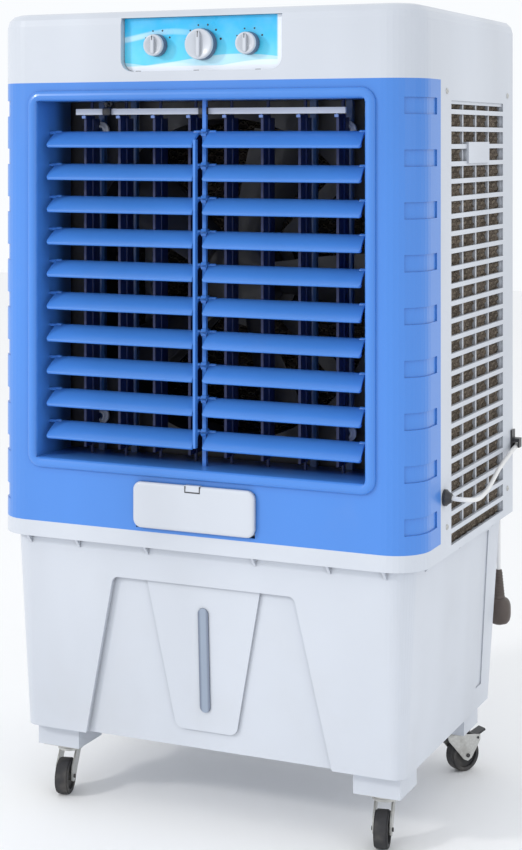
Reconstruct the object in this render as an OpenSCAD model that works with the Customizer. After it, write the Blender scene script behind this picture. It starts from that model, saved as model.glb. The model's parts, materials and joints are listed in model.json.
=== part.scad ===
// Mobile evaporative cooler: a fan cabinet with wetted pads on three sides, standing on a water tank with casters.
// Millimetres. +Z is up, -Y is the front. The origin is on the floor, under the middle of the machine.
// Inside the modules Y is counted from the cabinet's front face, and place() moves it into the part's frame.

/* [Cabinet] */
// Width of the cabinet
body_w = 690; // [688:1:692]
// Depth of the cabinet, without knobs and cord peg
body_d = 485; // [484:1:488]
// Thickness of the moulded walls
wall = 4; // [3.5:0.25:4.5]
// Radius of the two front corners
front_r = 55; // [50:1:58]
// Radius of the two rear corners
rear_r = 15; // [12:1:18]
// How far knobs and filling flap stand out of the front face
front_proud = 8; // [8:0.5:9]
// How far the cord peg stands out of the rear face
peg_reach = 28; // [28:1:32]

/* [Levels above the floor] */
// Underside of the water tank
tank_z = 110; // [106:1:114]
// Underside of the tank's rim
rim_z = 412; // [410:1:414]
// Top of the rim below the side and rear panels
low_rim_z = 418; // [417:1:419]
// Top of the rim in front, where the front frame stands
frame_z = 436; // [434:1:437]
// Joint between front frame and top cap
cap_z = 1104; // [1103:1:1106]
// Top of the machine
top_z = 1210; // [1206:1:1214]

/* [Outlet] */
// Width of the air outlet
outlet_w = 534; // [532:1:536]
// Lower edge of the outlet
outlet_z0 = 534; // [530:1:536]
// Upper edge of the outlet
outlet_z1 = 1076; // [1074:1:1078]
// How far the front frame reaches round the sides
frame_d = 100; // [98:1:104]
// Height of the top louvre's pivot
louvre_z = 1028; // [1026:1:1029]
// Distance between louvre rows
louvre_pitch = 49.4; // [49:0.1:49.6]
// Angle of the louvres at rest, front edge down
louvre_tilt = 35; // [25:1:40]
// Distance between vertical vanes
vane_pitch = 59.5; // [58:0.5:60]

/* [Fan] */
// Radius of the fan ring
ring_r = 245; // [244:1:247]
// Radius over the fan blades
fan_r = 238; // [225:1:239]
// Pitch of the fan blades
fan_pitch = 32; // [26:1:33]

/* [Casters] */
// Radius of the caster wheels
wheel_r = 27; // [25:0.5:27]
// Width of the caster wheels
wheel_w = 20; // [18:1:20]
// Distance from a caster's swivel axis to its axle
trail = 27; // [25:1:28]
// Half of the distance between swivel axes, across
caster_x = 263; // [261:1:265]

/* [Mains lead] */
// Diameter of the lead
lead_dia = 7; // [6:0.5:7]

/* [Hidden] */

// Colours
blue = [0.22, 0.45, 0.88];
shell_white = [0.90, 0.91, 0.95];
cyan = [0.25, 0.78, 0.95];
black = [0.08, 0.08, 0.09];
zinc = [0.72, 0.72, 0.70];
grey = [0.55, 0.58, 0.62];
pad_brown = [0.45, 0.36, 0.26];

// The box from the flap's face to the end of the cord peg is centred on Y
front_y = -(body_d + peg_reach - front_proud) / 2;
in_w = body_w - 2 * wall;
outlet_h = outlet_z1 - outlet_z0;
outlet_mid = (outlet_z0 + outlet_z1) / 2;
run_gap = 0.05; // radial clearance of a pin in its bore

// Tank walls lean inwards from the rim down
tank_in_top = 19;
tank_in_low = 35;
lean = atan((tank_in_low - tank_in_top) / (rim_z - tank_z));

// Louvres
louvre_n = 10;
louvre_y = 36.5; // pivot line behind the front face
blade_end = 257;
blade_slant = 4; // how much shorter the rear edge is at the outer end
blade_inner = 8;
blade_chord = 33.6;
link_u = 28; // link pin along the blade
pin_r = 2.5;
link_pin_r = 1.5;

// Vanes
vane_n = 8;
vane_y = 65;
vane_half = 22;
vane_z0 = 546;
vane_z1 = 1050;
vane_arm = 24;
crank_x = -168;
crank_y = 48;
crank_r = 12;

// Side and rear openings with their grilles
grille_z0 = 424;
grille_z1 = 1075;
grille_y0 = 149;
grille_y1 = 416;
rear_half = 255;
bar_pitch = 25.6;
bar_z = 444.3;
bar_h = 7;
rib_w = 5; // width of the grilles' upright ribs
bar_n = 25;
pad_t = 40;

// Controls
panel_x = 8;
panel_w = 262;
panel_z0 = 1119;
panel_z1 = 1199;
panel_in = 14;
knob_z = 1157.5;
knob_xs = [-67, 8, 83];

// Filling flap
flap_w = 197;
flap_z0 = 444;
flap_z1 = 510.5;
flap_pivot_y = 3;
flap_pivot_z = 448;

// Casters: place and heading of the wheel from the swivel axis
caster_y0 = 92;
caster_y1 = 392;
heading_fl = -76;
heading_fr = -78;
heading_rl = 118;
heading_rr = 57;
plate_z = 75;

// Lead: exit at the gland, along the side, round the rear corner, into the coil on the peg, and down to the plug
gland_y = 116;
gland_z = 500;
lead_route = [[357, 116, 500], [369, 117, 499], [379, 123, 498], [386, 135, 497], [388, 152, 497], [387, 172, 498],
  [384, 196, 498], [380, 222, 499], [376, 248, 500], [372, 274, 502], [368, 300, 504], [364, 326, 506],
  [361, 352, 508], [358, 378, 510], [356, 402, 512], [354, 426, 515], [353, 448, 518], [352, 468, 520],
  [348, 482, 522], [338, 493, 525], [323, 497, 527], [303, 498, 528], [288, 498, 528], [274, 498, 528]];
tail_route = [[313, 504, 567], [313, 504, 548], [313, 504, 528], [313, 503, 508], [313, 502, 488], [313, 501, 468],
  [313, 500, 448], [313, 500, 428], [313, 500, 408], [313, 500, 388], [313, 500, 368], [313, 500, 348],
  [313, 500, 328], [313, 500, 308]];
coil_x = 274;
coil_z = 571;
coil_r = 40;
coil_y0 = 487;
coil_y1 = 508;
peg_r = 8;
plug_z = 308;

// Moves a shape whose Y is counted from the front face into the part's frame
module place() translate([0, front_y, 0]) children();

// A shape and its mirror image across the middle
module both_sides() {
  children();
  mirror([1, 0, 0]) children();
}

function arc(centre, r, from, to, n = 10) =
  [for (i = [0:n]) centre + r * [cos(from + (to - from) * i / n), sin(from + (to - from) * i / n)]];
function flip(list) = [for (i = [len(list) - 1:-1:0]) list[i]];

// Outline of the cabinet seen from above, moved inwards by inset
function plan(inset) =
  let (x = body_w / 2 - inset, rf = front_r - inset, rr = max(rear_r - inset, 3))
  concat(arc([-x + rf, inset + rf], rf, 180, 270), arc([x - rf, inset + rf], rf, 270, 360),
    arc([x - rr, body_d - inset - rr], rr, 0, 90, 5), arc([-x + rr, body_d - inset - rr], rr, 90, 180, 5));

// Front part of that outline, as an open path that ends at depth
function front_path(inset, depth) =
  let (x = body_w / 2 - inset, rf = front_r - inset)
  concat([[-x, depth]], arc([-x + rf, inset + rf], rf, 180, 270), arc([x - rf, inset + rf], rf, 270, 360),
    [[x, depth]]);

// Rear part of the outline, as an open path that starts at depth
function rear_path(inset, depth) =
  let (x = body_w / 2 - inset, rr = rear_r - inset)
  concat([[x, depth]], arc([x - rr, body_d - inset - rr], rr, 0, 90, 5),
    arc([-x + rr, body_d - inset - rr], rr, 90, 180, 5), [[-x, depth]]);

// Rectangle with rounded corners, centred on X, from z0 to z1
function round_rect(w, z0, z1, r) =
  concat(arc([w / 2 - r, z1 - r], r, 0, 90, 6), arc([-w / 2 + r, z1 - r], r, 90, 180, 6),
    arc([-w / 2 + r, z0 + r], r, 180, 270, 6), arc([w / 2 - r, z0 + r], r, 270, 360, 6));

// Upright panel: an outline in X and Z, filling Y from y0 to y1
module panel(points, y0, y1)
  translate([0, y1, 0]) rotate([90, 0, 0]) linear_extrude(y1 - y0) polygon(points);

// Box between two corners
module block(low, high) translate(low) cube(high - low);

// Round bar along X, Y or Z
module bar_x(r, x0, x1, y, z) translate([x0, y, z]) rotate([0, 90, 0]) cylinder(r = r, h = x1 - x0, $fn = 48);
module bar_y(r, y0, y1, x, z) translate([x, y1, z]) rotate([90, 0, 0]) cylinder(r = r, h = y1 - y0, $fn = 48);
module bar_z(r, z0, z1, x, y) translate([x, y, z0]) cylinder(r = r, h = z1 - z0, $fn = 48);

// Skin over a list of rings with the same number of points
module skin(rings, closed = false) {
  n = len(rings);
  m = len(rings[0]);
  sides = [for (i = [0:closed ? n - 1 : n - 2], j = [0:m - 1])
    let (a = i * m, b = ((i + 1) % n) * m, k = (j + 1) % m)
    each [[a + j, b + j, a + k], [b + j, b + k, a + k]]];
  caps = closed ? [] : [[for (j = [0:m - 1]) j], [for (j = [m - 1:-1:0]) (n - 1) * m + j]];
  polyhedron(points = [for (ring = rings) each ring], faces = concat(sides, caps));
}

// ---------- top cap and controls ----------

// Solid under the rounded top edge
module cap_solid(inset, low, edge) {
  top = top_z - inset;
  hull() {
    translate([0, 0, low]) linear_extrude(0.5) polygon(plan(inset));
    for (a = [0, 30, 60, 90])
      translate([0, 0, top - edge + edge * sin(a) - 0.5])
        linear_extrude(0.5) polygon(plan(inset + edge * (1 - cos(a))));
  }
}

// Outline of the control recess: square corners on top, round ones below
function recess_outline(grow) =
  let (x0 = panel_x - panel_w / 2 - grow, x1 = panel_x + panel_w / 2 + grow, z0 = panel_z0 - grow, r = 18 + grow)
  concat([[x0, panel_z1 + grow]], arc([x0 + r, z0 + r], r, 180, 270, 6), arc([x1 - r, z0 + r], r, 270, 360, 6),
    [[x1, panel_z1 + grow]]);

module top_cap() color(shell_white) place() {
  difference() {
    union() {
      difference() {
        cap_solid(0, cap_z, 20);
        cap_solid(wall, cap_z - 1, 18);
      }
      intersection() {
        cap_solid(1, cap_z, 19);
        panel(recess_outline(wall), 1, panel_in + wall);
      }
    }
    panel(recess_outline(0), -5, panel_in);
    for (x = knob_xs) bar_y(14, panel_in - 1, panel_in + wall + 1, x, knob_z);
    for (x = [-100, 0, 100]) block([panel_x + x - 5, 3, panel_z0 - 2.5], [panel_x + x + 5, 7, panel_z0 + 1]);
  }
}

// Label plate with the three rotary switches fixed behind it
module control_plate() color(cyan) place() {
  difference() {
    union() {
      panel(recess_outline(-0.4), panel_in - 2, panel_in);
      for (x = knob_xs) {
        bar_y(11, panel_in - 0.5, panel_in + 10, x, knob_z);
        block([x - 16, panel_in + 10, knob_z - 16], [x + 16, panel_in + 32, knob_z + 16]);
      }
    }
    for (x = knob_xs) bar_y(3 + run_gap, panel_in - 4, panel_in + 14, x, knob_z);
  }
}

// Turning knob: skirt, grip bar with a pointer, and spindle
module knob(x, r) color(shell_white) place() {
  difference() {
    union() {
      bar_y(r, -front_proud + 5, panel_in - 3, x, knob_z);
      bar_y(r - 2, -front_proud + 3, -front_proud + 5, x, knob_z);
      block([x - 3, -front_proud, knob_z - r + 3], [x + 3, -front_proud + 4, knob_z + r - 3]);
      bar_y(3, panel_in - 4, panel_in + 12, x, knob_z);
    }
    block([x - 0.8, -front_proud - 1, knob_z + r - 11], [x + 0.8, -front_proud + 0.8, knob_z + r - 4]);
  }
}
module knob_cool() knob(knob_xs[0], 17);
module knob_speed() knob(knob_xs[1], 23.5);
module knob_swing() knob(knob_xs[2], 17);

// ---------- front frame ----------

// Rounded bead round the outlet, swept along its rounded rectangle
module outlet_bead() {
  half = 8;
  high = 7;
  corner = 14;
  profile = [[-half, -2], for (a = [180:-22.5:0]) [half * cos(a), high * sin(a)], [half, -2]];
  hw = outlet_w / 2 + half - corner;
  hh = outlet_h / 2 + half - corner;
  stations = [for (q = [[1, 1, 0], [-1, 1, 90], [-1, -1, 180], [1, -1, 270]], i = [0:6])
    let (a = q[2] + 15 * i) [q[0] * hw + corner * cos(a), q[1] * hh + corner * sin(a), cos(a), sin(a)]];
  translate([0, 0, outlet_mid])
    skin([for (s = stations) [for (p = profile) [s[0] + p[0] * s[2], -p[1], s[1] + p[0] * s[3]]]], true);
}

// Path of a corner pocket, from the front round to the side
function pocket_path(inset) =
  concat(arc([body_w / 2 - front_r, front_r], front_r - inset, 305, 360, 6), [[body_w / 2 - inset, 83]]);

module front_frame() color(blue) place() {
  chute_half = 97;
  chute_z0 = 441.5;
  chute_z1 = 506;
  chute_d = 70;
  difference() {
    union() {
      translate([0, 0, frame_z]) linear_extrude(cap_z - frame_z)
        polygon(concat(front_path(0, frame_d), flip(front_path(wall, frame_d))));
      for (z = [frame_z, cap_z - wall]) translate([0, 0, z]) linear_extrude(wall) polygon(front_path(1, frame_d));
      outlet_bead();
      block([-outlet_w / 2 - wall, 1, outlet_z0 - wall], [outlet_w / 2 + wall, frame_d, outlet_z1 + wall]);
      block([-chute_half - wall, 1, frame_z], [chute_half + wall, chute_d + wall, chute_z1 + wall]);
    }
    block([-outlet_w / 2, -9, outlet_z0], [outlet_w / 2, frame_d + 1, outlet_z1]);
    block([-chute_half, -1, chute_z0], [chute_half, chute_d, chute_z1]);
    block([-chute_half + 5, 20, frame_z - 1], [chute_half - 5, chute_d, chute_z0 + 1]);
    both_sides() for (k = [0:8]) translate([0, 0, 463 + 73.8 * k]) linear_extrude(24)
      polygon(concat(pocket_path(-3), flip(pocket_path(2.2))));
    both_sides() bar_x(2 + run_gap, chute_half - 1, chute_half + wall + 1, flap_pivot_y, flap_pivot_z);
    for (i = [0:louvre_n - 1]) both_sides()
      bar_x(pin_r + run_gap, outlet_w / 2 - 1, outlet_w / 2 + wall + 1, louvre_y, louvre_z - louvre_pitch * i);
    for (i = [0:vane_n - 1]) {
      x = (i - (vane_n - 1) / 2) * vane_pitch;
      bar_z(pin_r + run_gap, outlet_z0 - wall - 1, outlet_z0 + 1, x, vane_y);
      bar_z(pin_r + run_gap, outlet_z1 - 1, outlet_z1 + wall + 1, x, vane_y);
    }
    bar_z(4 + run_gap, outlet_z1 - 1, outlet_z1 + wall + 1, crank_x, crank_y);
  }
  centre_post();
  both_sides() for (x = [150, 207]) block([x - 5, 92, outlet_z0 - 1], [x + 5, frame_d, outlet_z1 + 1]);
}

// Post in the middle of the outlet with a bearing eye at each louvre row
module centre_post() difference() {
  union() {
    block([-3, 32, outlet_z0 - 1], [3, 37.5, outlet_z1 + 1]);
    for (i = [0:louvre_n - 1]) bar_x(5, -5, 5, louvre_y, louvre_z - louvre_pitch * i);
  }
  for (i = [0:louvre_n - 1]) bar_x(pin_r + run_gap, -6, 6, louvre_y, louvre_z - louvre_pitch * i);
}

// ---------- louvres and vanes ----------

// Section of a louvre blade: thin and slightly arched, with a thicker front lip
function blade_section() =
  let (n = 8, u0 = -3, rise = function (t) 2.2 * (1 - pow(2 * t - 1, 2)))
  concat([for (i = [0:n]) [u0 + (blade_chord - u0) * i / n, 1.5 + rise(i / n)]],
    [[blade_chord + 1, 1.2], [blade_chord + 1, -3], [blade_chord - 1, -3]],
    [for (i = [n - 1:-1:0]) [u0 + (blade_chord - u0) * i / n, -1.5 + rise(i / n)]]);

// One blade with its pins, along +X, in a frame where the chord runs forwards
module blade() {
  difference() {
    translate([blade_inner, 0, 0]) rotate([90, 0, 90]) mirror([1, 0, 0])
      linear_extrude(blade_end - blade_inner) polygon(blade_section());
    translate([0, 0, -6]) linear_extrude(14)
      polygon([[blade_end - blade_slant, 4], [blade_end - 2, -blade_chord], [blade_end + 1, -blade_chord],
        [blade_end + 1, 4]]);
  }
  bar_x(3.4, blade_inner, blade_inner + 10, 0, 0);
  bar_x(3.4, blade_end - blade_slant - 8, blade_end - blade_slant + 2, 0, 0);
  bar_x(pin_r, blade_end - blade_slant + 1, outlet_w / 2 + wall - 0.5, 0, 0);
  bar_x(pin_r, 0.5, blade_inner + 1, 0, 0);
}

module louvre(row) color(blue) place()
  translate([0, louvre_y, louvre_z - louvre_pitch * (row - 1)]) rotate([louvre_tilt, 0, 0]) {
    blade();
    mirror([1, 0, 0]) blade();
    bar_x(link_pin_r, -blade_inner - 4, -3.2, -link_u, 0.7);
  }

// Upright bar that joins all louvre rows
module louvre_link() color(blue) place() {
  y = louvre_y - link_u * cos(louvre_tilt) - 0.7 * sin(louvre_tilt);
  z = louvre_z - link_u * sin(louvre_tilt) + 0.7 * cos(louvre_tilt);
  span = louvre_pitch * (louvre_n - 1);
  difference() {
    block([-7.5, y - 4, z - span - 5], [-3.5, y + 4, z + 5]);
    for (i = [0:louvre_n - 1]) bar_x(link_pin_r + run_gap, -9, -2, y, z - louvre_pitch * i);
  }
}

// Upright vane with pivot pins and the arm that the vane link moves
module vane(number) color(blue) place() {
  x = (number - 1 - (vane_n - 1) / 2) * vane_pitch;
  translate([x, vane_y, 0]) {
    translate([0, 0, vane_z0]) linear_extrude(vane_z1 - vane_z0)
      polygon([[-2, -vane_half], [2, -vane_half], [1.6, -vane_half + 5], [2, 0], [1, vane_half], [-1, vane_half],
        [-2, 0], [-1.6, -vane_half + 5]]);
    bar_z(3.4, vane_z0, vane_z1, 0, 0);
    bar_z(pin_r, outlet_z0 - wall + 0.5, vane_z0 + 1, 0, 0);
    bar_z(pin_r, vane_z1 - 1, outlet_z1 + wall - 0.5, 0, 0);
    block([-3, -vane_arm - 3, vane_z1], [3, 3, vane_z1 + 4]);
    bar_z(link_pin_r, vane_z1 + 2, vane_z1 + 14, 0, -vane_arm);
  }
}

// Rod that swings all vanes, with the slotted lug over which the crank pin runs
module vane_link() color(shell_white) place() {
  y = vane_y - vane_arm;
  z0 = vane_z1 + 5.5;
  difference() {
    union() {
      block([-222, y - 2.5, z0], [222, y + 2.5, z0 + 9]);
      block([crank_x - 4, y - 7, z0 + 1], [crank_x + 4, y + 20, z0 + 10]);
    }
    for (i = [0:vane_n - 1])
      bar_z(link_pin_r + run_gap, z0 - 1, z0 + 10, (i - (vane_n - 1) / 2) * vane_pitch, y);
    block([crank_x - 2.2, y - 5, z0 + 9], [crank_x + 2.2, y + 18, z0 + 11]);
  }
}

// Crank on the swing motor's shaft, its pin over the middle of the stroke
module swing_crank() color(black) place() {
  bar_z(4, outlet_z1 - 8, outlet_z1 + wall + 8, crank_x, crank_y);
  bar_z(7, outlet_z1 - 6, outlet_z1 - 2, crank_x, crank_y);
  block([crank_x - 4, crank_y - crank_r, outlet_z1 - 6], [crank_x + 4, crank_y, outlet_z1 - 2]);
  bar_z(4, outlet_z1 - 6, outlet_z1 - 2, crank_x, crank_y - crank_r);
  bar_z(2, outlet_z1 - 9, outlet_z1 - 5, crank_x, crank_y - crank_r);
}

// Synchronous gear motor above the outlet, with its two fixing ears
module swing_motor() color(zinc) place() {
  difference() {
    union() {
      bar_z(24, outlet_z1 + wall, cap_z - wall - 1, crank_x, crank_y);
      block([crank_x - 33, crank_y - 5, outlet_z1 + wall], [crank_x + 33, crank_y + 5, outlet_z1 + wall + 2]);
    }
    bar_z(4 + run_gap, outlet_z1, outlet_z1 + wall + 9, crank_x, crank_y);
    for (s = [-1, 1]) bar_z(1.6, outlet_z1, outlet_z1 + wall + 4, crank_x + s * 29, crank_y);
  }
}

// ---------- cabinet ----------

module body_shell() color(shell_white) place() {
  difference() {
    union() {
      translate([0, 0, low_rim_z]) linear_extrude(cap_z - low_rim_z)
        polygon(concat(rear_path(0, frame_d), flip(rear_path(wall, frame_d))));
      difference() {
        translate([0, 0, low_rim_z]) linear_extrude(wall) polygon(rear_path(1, frame_d + 1));
        block([-280, 128, low_rim_z - 1], [280, 432, low_rim_z + 5]);
      }
      both_sides() for (y = [grille_y0 - 14, grille_y1 + 10])
        block([in_w / 2 - 51, y, low_rim_z], [in_w / 2 + 1, y + wall, cap_z - 10]);
      both_sides() block([303, 436, low_rim_z], [303 + wall, body_d - wall + 1, cap_z - 10]);
    }
    both_sides() block([in_w / 2 - 2, grille_y0, grille_z0], [body_w / 2 + 1, grille_y1, grille_z1]);
    block([-rear_half, body_d - wall - 2, grille_z0], [rear_half, body_d + 1, grille_z1]);
    bar_x(8 + run_gap, in_w / 2 - 1, body_w / 2 + 1, gland_y, gland_z);
  }
}

// Grille in the X = 0 plane of its own frame: thick bars in front, thin ribs behind, and a pull grip
module side_grille() {
  x1 = body_w / 2;
  step = (grille_y1 - grille_y0 - rib_w) / 4;
  for (i = [0:bar_n - 1])
    block([x1 - 5, grille_y0, bar_z + bar_pitch * i - bar_h / 2],
      [x1, grille_y1, bar_z + bar_pitch * i + bar_h / 2]);
  for (i = [0:4])
    let (y = grille_y0 + step * i, z = (i == 0 || i == 4) ? grille_z0 : bar_z)
      block([x1 - 9, y, z], [x1 - 4, y + rib_w, grille_z1]);
  block([x1 - 9, grille_y0, grille_z1 - 5], [x1 - 2, grille_y1, grille_z1]);
  block([x1 - 8, grille_y0 + 76, 982], [x1 + 3, grille_y0 + 182, 1014]);
}
module side_grilles() color(shell_white) place() both_sides() side_grille();

module rear_grille() color(shell_white) place() {
  y1 = body_d;
  for (i = [0:bar_n - 1])
    block([-rear_half, y1 - 5, bar_z + bar_pitch * i - bar_h / 2],
      [rear_half, y1, bar_z + bar_pitch * i + bar_h / 2]);
  for (i = [0:8])
    let (x = -rear_half + (2 * rear_half - rib_w) / 8 * i)
      block([x, y1 - 9, grille_z0], [x + rib_w, y1 - 4, grille_z1]);
  block([-rear_half, y1 - 9, grille_z1 - 5], [rear_half, y1 - 2, grille_z1]);
}

module cooling_pads() color(pad_brown) place() {
  both_sides() block([body_w / 2 - 9 - pad_t, grille_y0 - 9, low_rim_z + wall],
    [body_w / 2 - 9, grille_y1 + 9, cap_z - 18]);
  block([-302, body_d - 9 - pad_t + 4, low_rim_z + wall], [302, body_d - 9, cap_z - 18]);
}

// Trough over each pad, the pipe that feeds them, and the riser from the pump
module water_distributor() color(grey) place() {
  z0 = cap_z - 17;
  z1 = cap_z - 3;
  x0 = body_w / 2 - 9 - pad_t;
  difference() {
    union() {
      both_sides() block([x0, grille_y0 - 9, z0], [body_w / 2 - 9, grille_y1 + 9, z1]);
      block([-302, body_d - 9 - pad_t + 4, z0], [302, body_d - 9, z1]);
      block([-x0 - 1, grille_y1 - 11, z0], [x0 + 1, grille_y1 + 9, z1]);
      block([230, grille_y1, z0], [250, body_d - 9 - pad_t + 5, z1]);
      bar_z(9, 214, z1 - 3, 240, 400);
    }
    both_sides() block([x0 + 2, grille_y0 - 7, z0 + 2], [body_w / 2 - 11, grille_y1 + 7, z1 + 1]);
    block([-300, body_d - 9 - pad_t + 6, z0 + 2], [300, body_d - 11, z1 + 1]);
    block([-x0 - 3, grille_y1 - 9, z0 + 2], [x0 + 3, grille_y1 + 7, z1 + 1]);
    block([232, grille_y1 - 3, z0 + 2], [248, body_d - pad_t, z1 + 1]);
    bar_z(7, 213, z1 + 1, 240, 400);
  }
}

// ---------- fan ----------

// Bulkhead with the fan ring and the four arms that carry the motor
module fan_shroud() color(blue) place() {
  z = outlet_mid;
  difference() {
    union() {
      block([-in_w / 2, 110, frame_z + wall], [in_w / 2, 114, cap_z - 2]);
      bar_y(ring_r + wall, 112, 205, 0, z);
    }
    bar_y(ring_r, 109, 206, 0, z);
    block([in_w / 2 - 14, 109, gland_z - 16], [in_w / 2 + 1, 115, gland_z + 16]);
  }
  difference() {
    union() {
      bar_y(80, 199, 205, 0, z);
      for (a = [45, 135]) translate([0, 0, z]) rotate([0, a, 0])
        block([-ring_r - 2, 199, -12], [ring_r + 2, 205, 12]);
    }
    bar_y(60, 198, 206, 0, z);
    for (a = [0:90:270]) translate([0, 0, z]) rotate([0, a, 0]) bar_y(2.6, 198, 206, 70, 0);
  }
}

module fan_motor() color(grey) place() {
  z = outlet_mid;
  difference() {
    union() {
      bar_y(76, 205, 209, 0, z);
      bar_y(66, 208, 312, 0, z);
      bar_y(40, 311, 322, 0, z);
      block([-18, 225, z + 60], [18, 285, z + 84]);
    }
    bar_y(8 + run_gap, 204, 240, 0, z);
    for (a = [0:90:270]) translate([0, 0, z]) rotate([0, a, 0]) bar_y(2.6, 204, 210, 70, 0);
  }
}

module fan_impeller() color(black) place() {
  z = outlet_mid;
  difference() {
    bar_y(62, 142, 192, 0, z);
    bar_y(56, 148, 193, 0, z);
  }
  bar_y(14, 146, 192, 0, z);
  bar_y(8, 190, 236, 0, z);
  for (i = [0:4]) translate([0, 167, z]) rotate([0, 72 * i, 0]) rotate([fan_pitch, 0, 0])
    block([59, -2, -44], [fan_r - 5, 2, 44]);
}

// ---------- tank and water circuit ----------

// Solid of the leaning tank, moved inwards by inset
module tank_solid(inset, z0, z1) {
  drop = rim_z - tank_z;
  hull() {
    translate([0, 0, z0]) linear_extrude(0.2)
      polygon(plan(inset + tank_in_top + (tank_in_low - tank_in_top) * (rim_z - z0) / drop));
    translate([0, 0, z1 - 0.2]) linear_extrude(0.2)
      polygon(plan(inset + tank_in_top + (tank_in_low - tank_in_top) * (rim_z - z1) / drop));
  }
}

// Frame on the leaning front wall of the tank, with its origin at the height z
module on_front(z) translate([0, tank_in_top + tan(lean) * (rim_z - z), z]) rotate([lean, 0, 0]) children();

// Trapezoid that is symmetric about X, with round corners on top or below
function relief(top_half, low_half, z0, z1, r_top, r_low) =
  concat(arc([top_half - r_top, z1 - r_top], r_top, 0, 90, 5), arc([-top_half + r_top, z1 - r_top], r_top, 90, 180, 5),
    arc([-low_half + r_low, z0 + r_low], r_low, 180, 270, 5), arc([low_half - r_low, z0 + r_low], r_low, 270, 360, 5));

module water_tank() color(shell_white) place() {
  difference() {
    union() {
      difference() {
        tank_solid(0, tank_z, rim_z + 1);
        tank_solid(wall, tank_z + wall, rim_z + 2);
      }
      intersection() {
        tank_solid(1, tank_z, rim_z);
        on_front(tank_z) panel(relief(156, 212, -20, 252, 14, 4), -2, 15);
      }
      translate([0, 0, rim_z]) linear_extrude(wall) difference() {
        polygon(plan(0));
        polygon(plan(tank_in_top + wall));
      }
      translate([0, 0, rim_z]) linear_extrude(frame_z - rim_z) difference() {
        polygon(plan(0));
        polygon(plan(wall));
      }
      tank_gussets();
      caster_pads();
    }
    block([-body_w, frame_d, low_rim_z], [body_w, body_d + 10, frame_z + 1]);
    on_front(tank_z) difference() {
      panel(relief(151, 206, -20, 248, 12, 3), -8, 9);
      panel(relief(95, 52, 28, 262, 3, 14), 5, 20);
    }
    on_front(tank_z) panel(round_rect(17, 57, 214, 8.4), 0, 20);
    both_sides() translate([body_w / 2 - tank_in_low, 0, tank_z]) rotate([0, lean, 0])
      block([-1.8, 376, 36], [30, 404, 284]);
    bar_y(11 + run_gap, body_d - 50, body_d, -120, 136);
    bar_y(10 + run_gap, body_d - 40, body_d, -230, 372);
  }
}

// Small triangular stiffeners under the rim
module tank_gussets() {
  for (x = [-290, -205, -88, 88, 205, 290]) translate([x - 2, 0, 0]) rotate([90, 0, 90])
    linear_extrude(4) polygon([[5, rim_z + 1], [21, rim_z + 1], [21, rim_z - 15], [19, rim_z - 15]]);
  both_sides() for (y = [90, 250, 420]) translate([0, y + 2, 0]) rotate([90, 0, 0]) linear_extrude(4)
    polygon([[body_w / 2 - 5, rim_z + 1], [body_w / 2 - 21, rim_z + 1], [body_w / 2 - 21, rim_z - 15],
      [body_w / 2 - 19, rim_z - 15]]);
}

// Thick feet under the corners, bored for the casters' plate bolts
module caster_pads() both_sides() for (y = [caster_y0, caster_y1]) difference() {
  block([caster_x - 36, y - 36, plate_z], [caster_x + 36, y + 36, tank_z + 2]);
  for (dx = [-20, 20], dy = [-20, 20]) bar_z(2.5, plate_z - 1, plate_z + 16, caster_x + dx, y + dy);
}

// Window strip on the front with the float tube behind it
module level_gauge() color(grey) place() on_front(tank_z) difference() {
  union() {
    panel(round_rect(16.6, 57.2, 213.8, 8.2), 3, 7);
    bar_z(8, 62, 209, 0, 14);
  }
  bar_z(6, 66, 205, 0, 14);
}
module level_float() color([0.75, 0.2, 0.15]) place() on_front(tank_z) {
  bar_z(5.6, 66.3, 80, 0, 14);
}

module water_pump() color(black) place() {
  bar_z(38, tank_z + wall, tank_z + 60, 240, 400 - 8);
  bar_z(30, tank_z + 59, tank_z + 94, 240, 400 - 8);
  bar_z(8, tank_z + 93, 213.5, 240, 400);
}

// Water inlet on the rear wall, with the valve body inside the tank
module inlet_valve() color(grey) place() {
  difference() {
    union() {
      bar_y(10, 440, body_d + 6, -230, 372);
      bar_y(15, body_d - 20.2, body_d - 14, -230, 372);
      block([-240, 425, 360], [-220, 445, 384]);
      both_clevis() children();
    }
    bar_y(6, 430, body_d + 7, -230, 372);
    bar_x(2 + run_gap, -241, -219, 416, 366);
  }
}

// Two ears that hold the float arm
module both_clevis() for (x = [-240, -225]) block([x, 410, 360], [x + 5, 426, 372]);

module valve_float() color([0.85, 0.45, 0.15]) place() {
  difference() {
    bar_x(5, -234.5, -225.5, 416, 366);
    bar_x(1, -240, -220, 416, 366);
  }
  bar_x(2, -239.5, -220.5, 416, 366);
  translate([-230, 416, 366]) rotate([20, 0, 0]) {
    bar_y(2.5, -120, -4, 0, 0);
    translate([0, -150, 0]) rotate([90, 0, 0]) cylinder(r = 32, h = 70, center = true, $fn = 48);
  }
}

module drain_plug() color(grey) place() {
  bar_y(11, body_d - 46, body_d - 30, -120, 136);
  bar_y(17, body_d - 32.6, body_d - 26, -120, 136);
  block([-135, body_d - 27, 133], [-105, body_d - 20, 139]);
}

// Filling flap with hinge barrels at the bottom and a finger tab on top
module fill_flap() color(shell_white) place() {
  panel(round_rect(flap_w, flap_z0, flap_z1, 12), -front_proud + 2, -1);
  panel(round_rect(flap_w - 8, flap_z0 + 4, flap_z1 - 4, 9), -front_proud, -front_proud + 3);
  block([-13, -front_proud, flap_z1 - 7], [12, -1, flap_z1 + 1]);
  both_sides() {
    block([82, -2, flap_pivot_z - 1], [94, flap_pivot_y, flap_pivot_z + 3.5]);
    bar_x(3.5, 82, 94, flap_pivot_y, flap_pivot_z);
    bar_x(2, 93, 97 + wall - 0.5, flap_pivot_y, flap_pivot_z);
  }
}

// ---------- casters ----------

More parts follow.
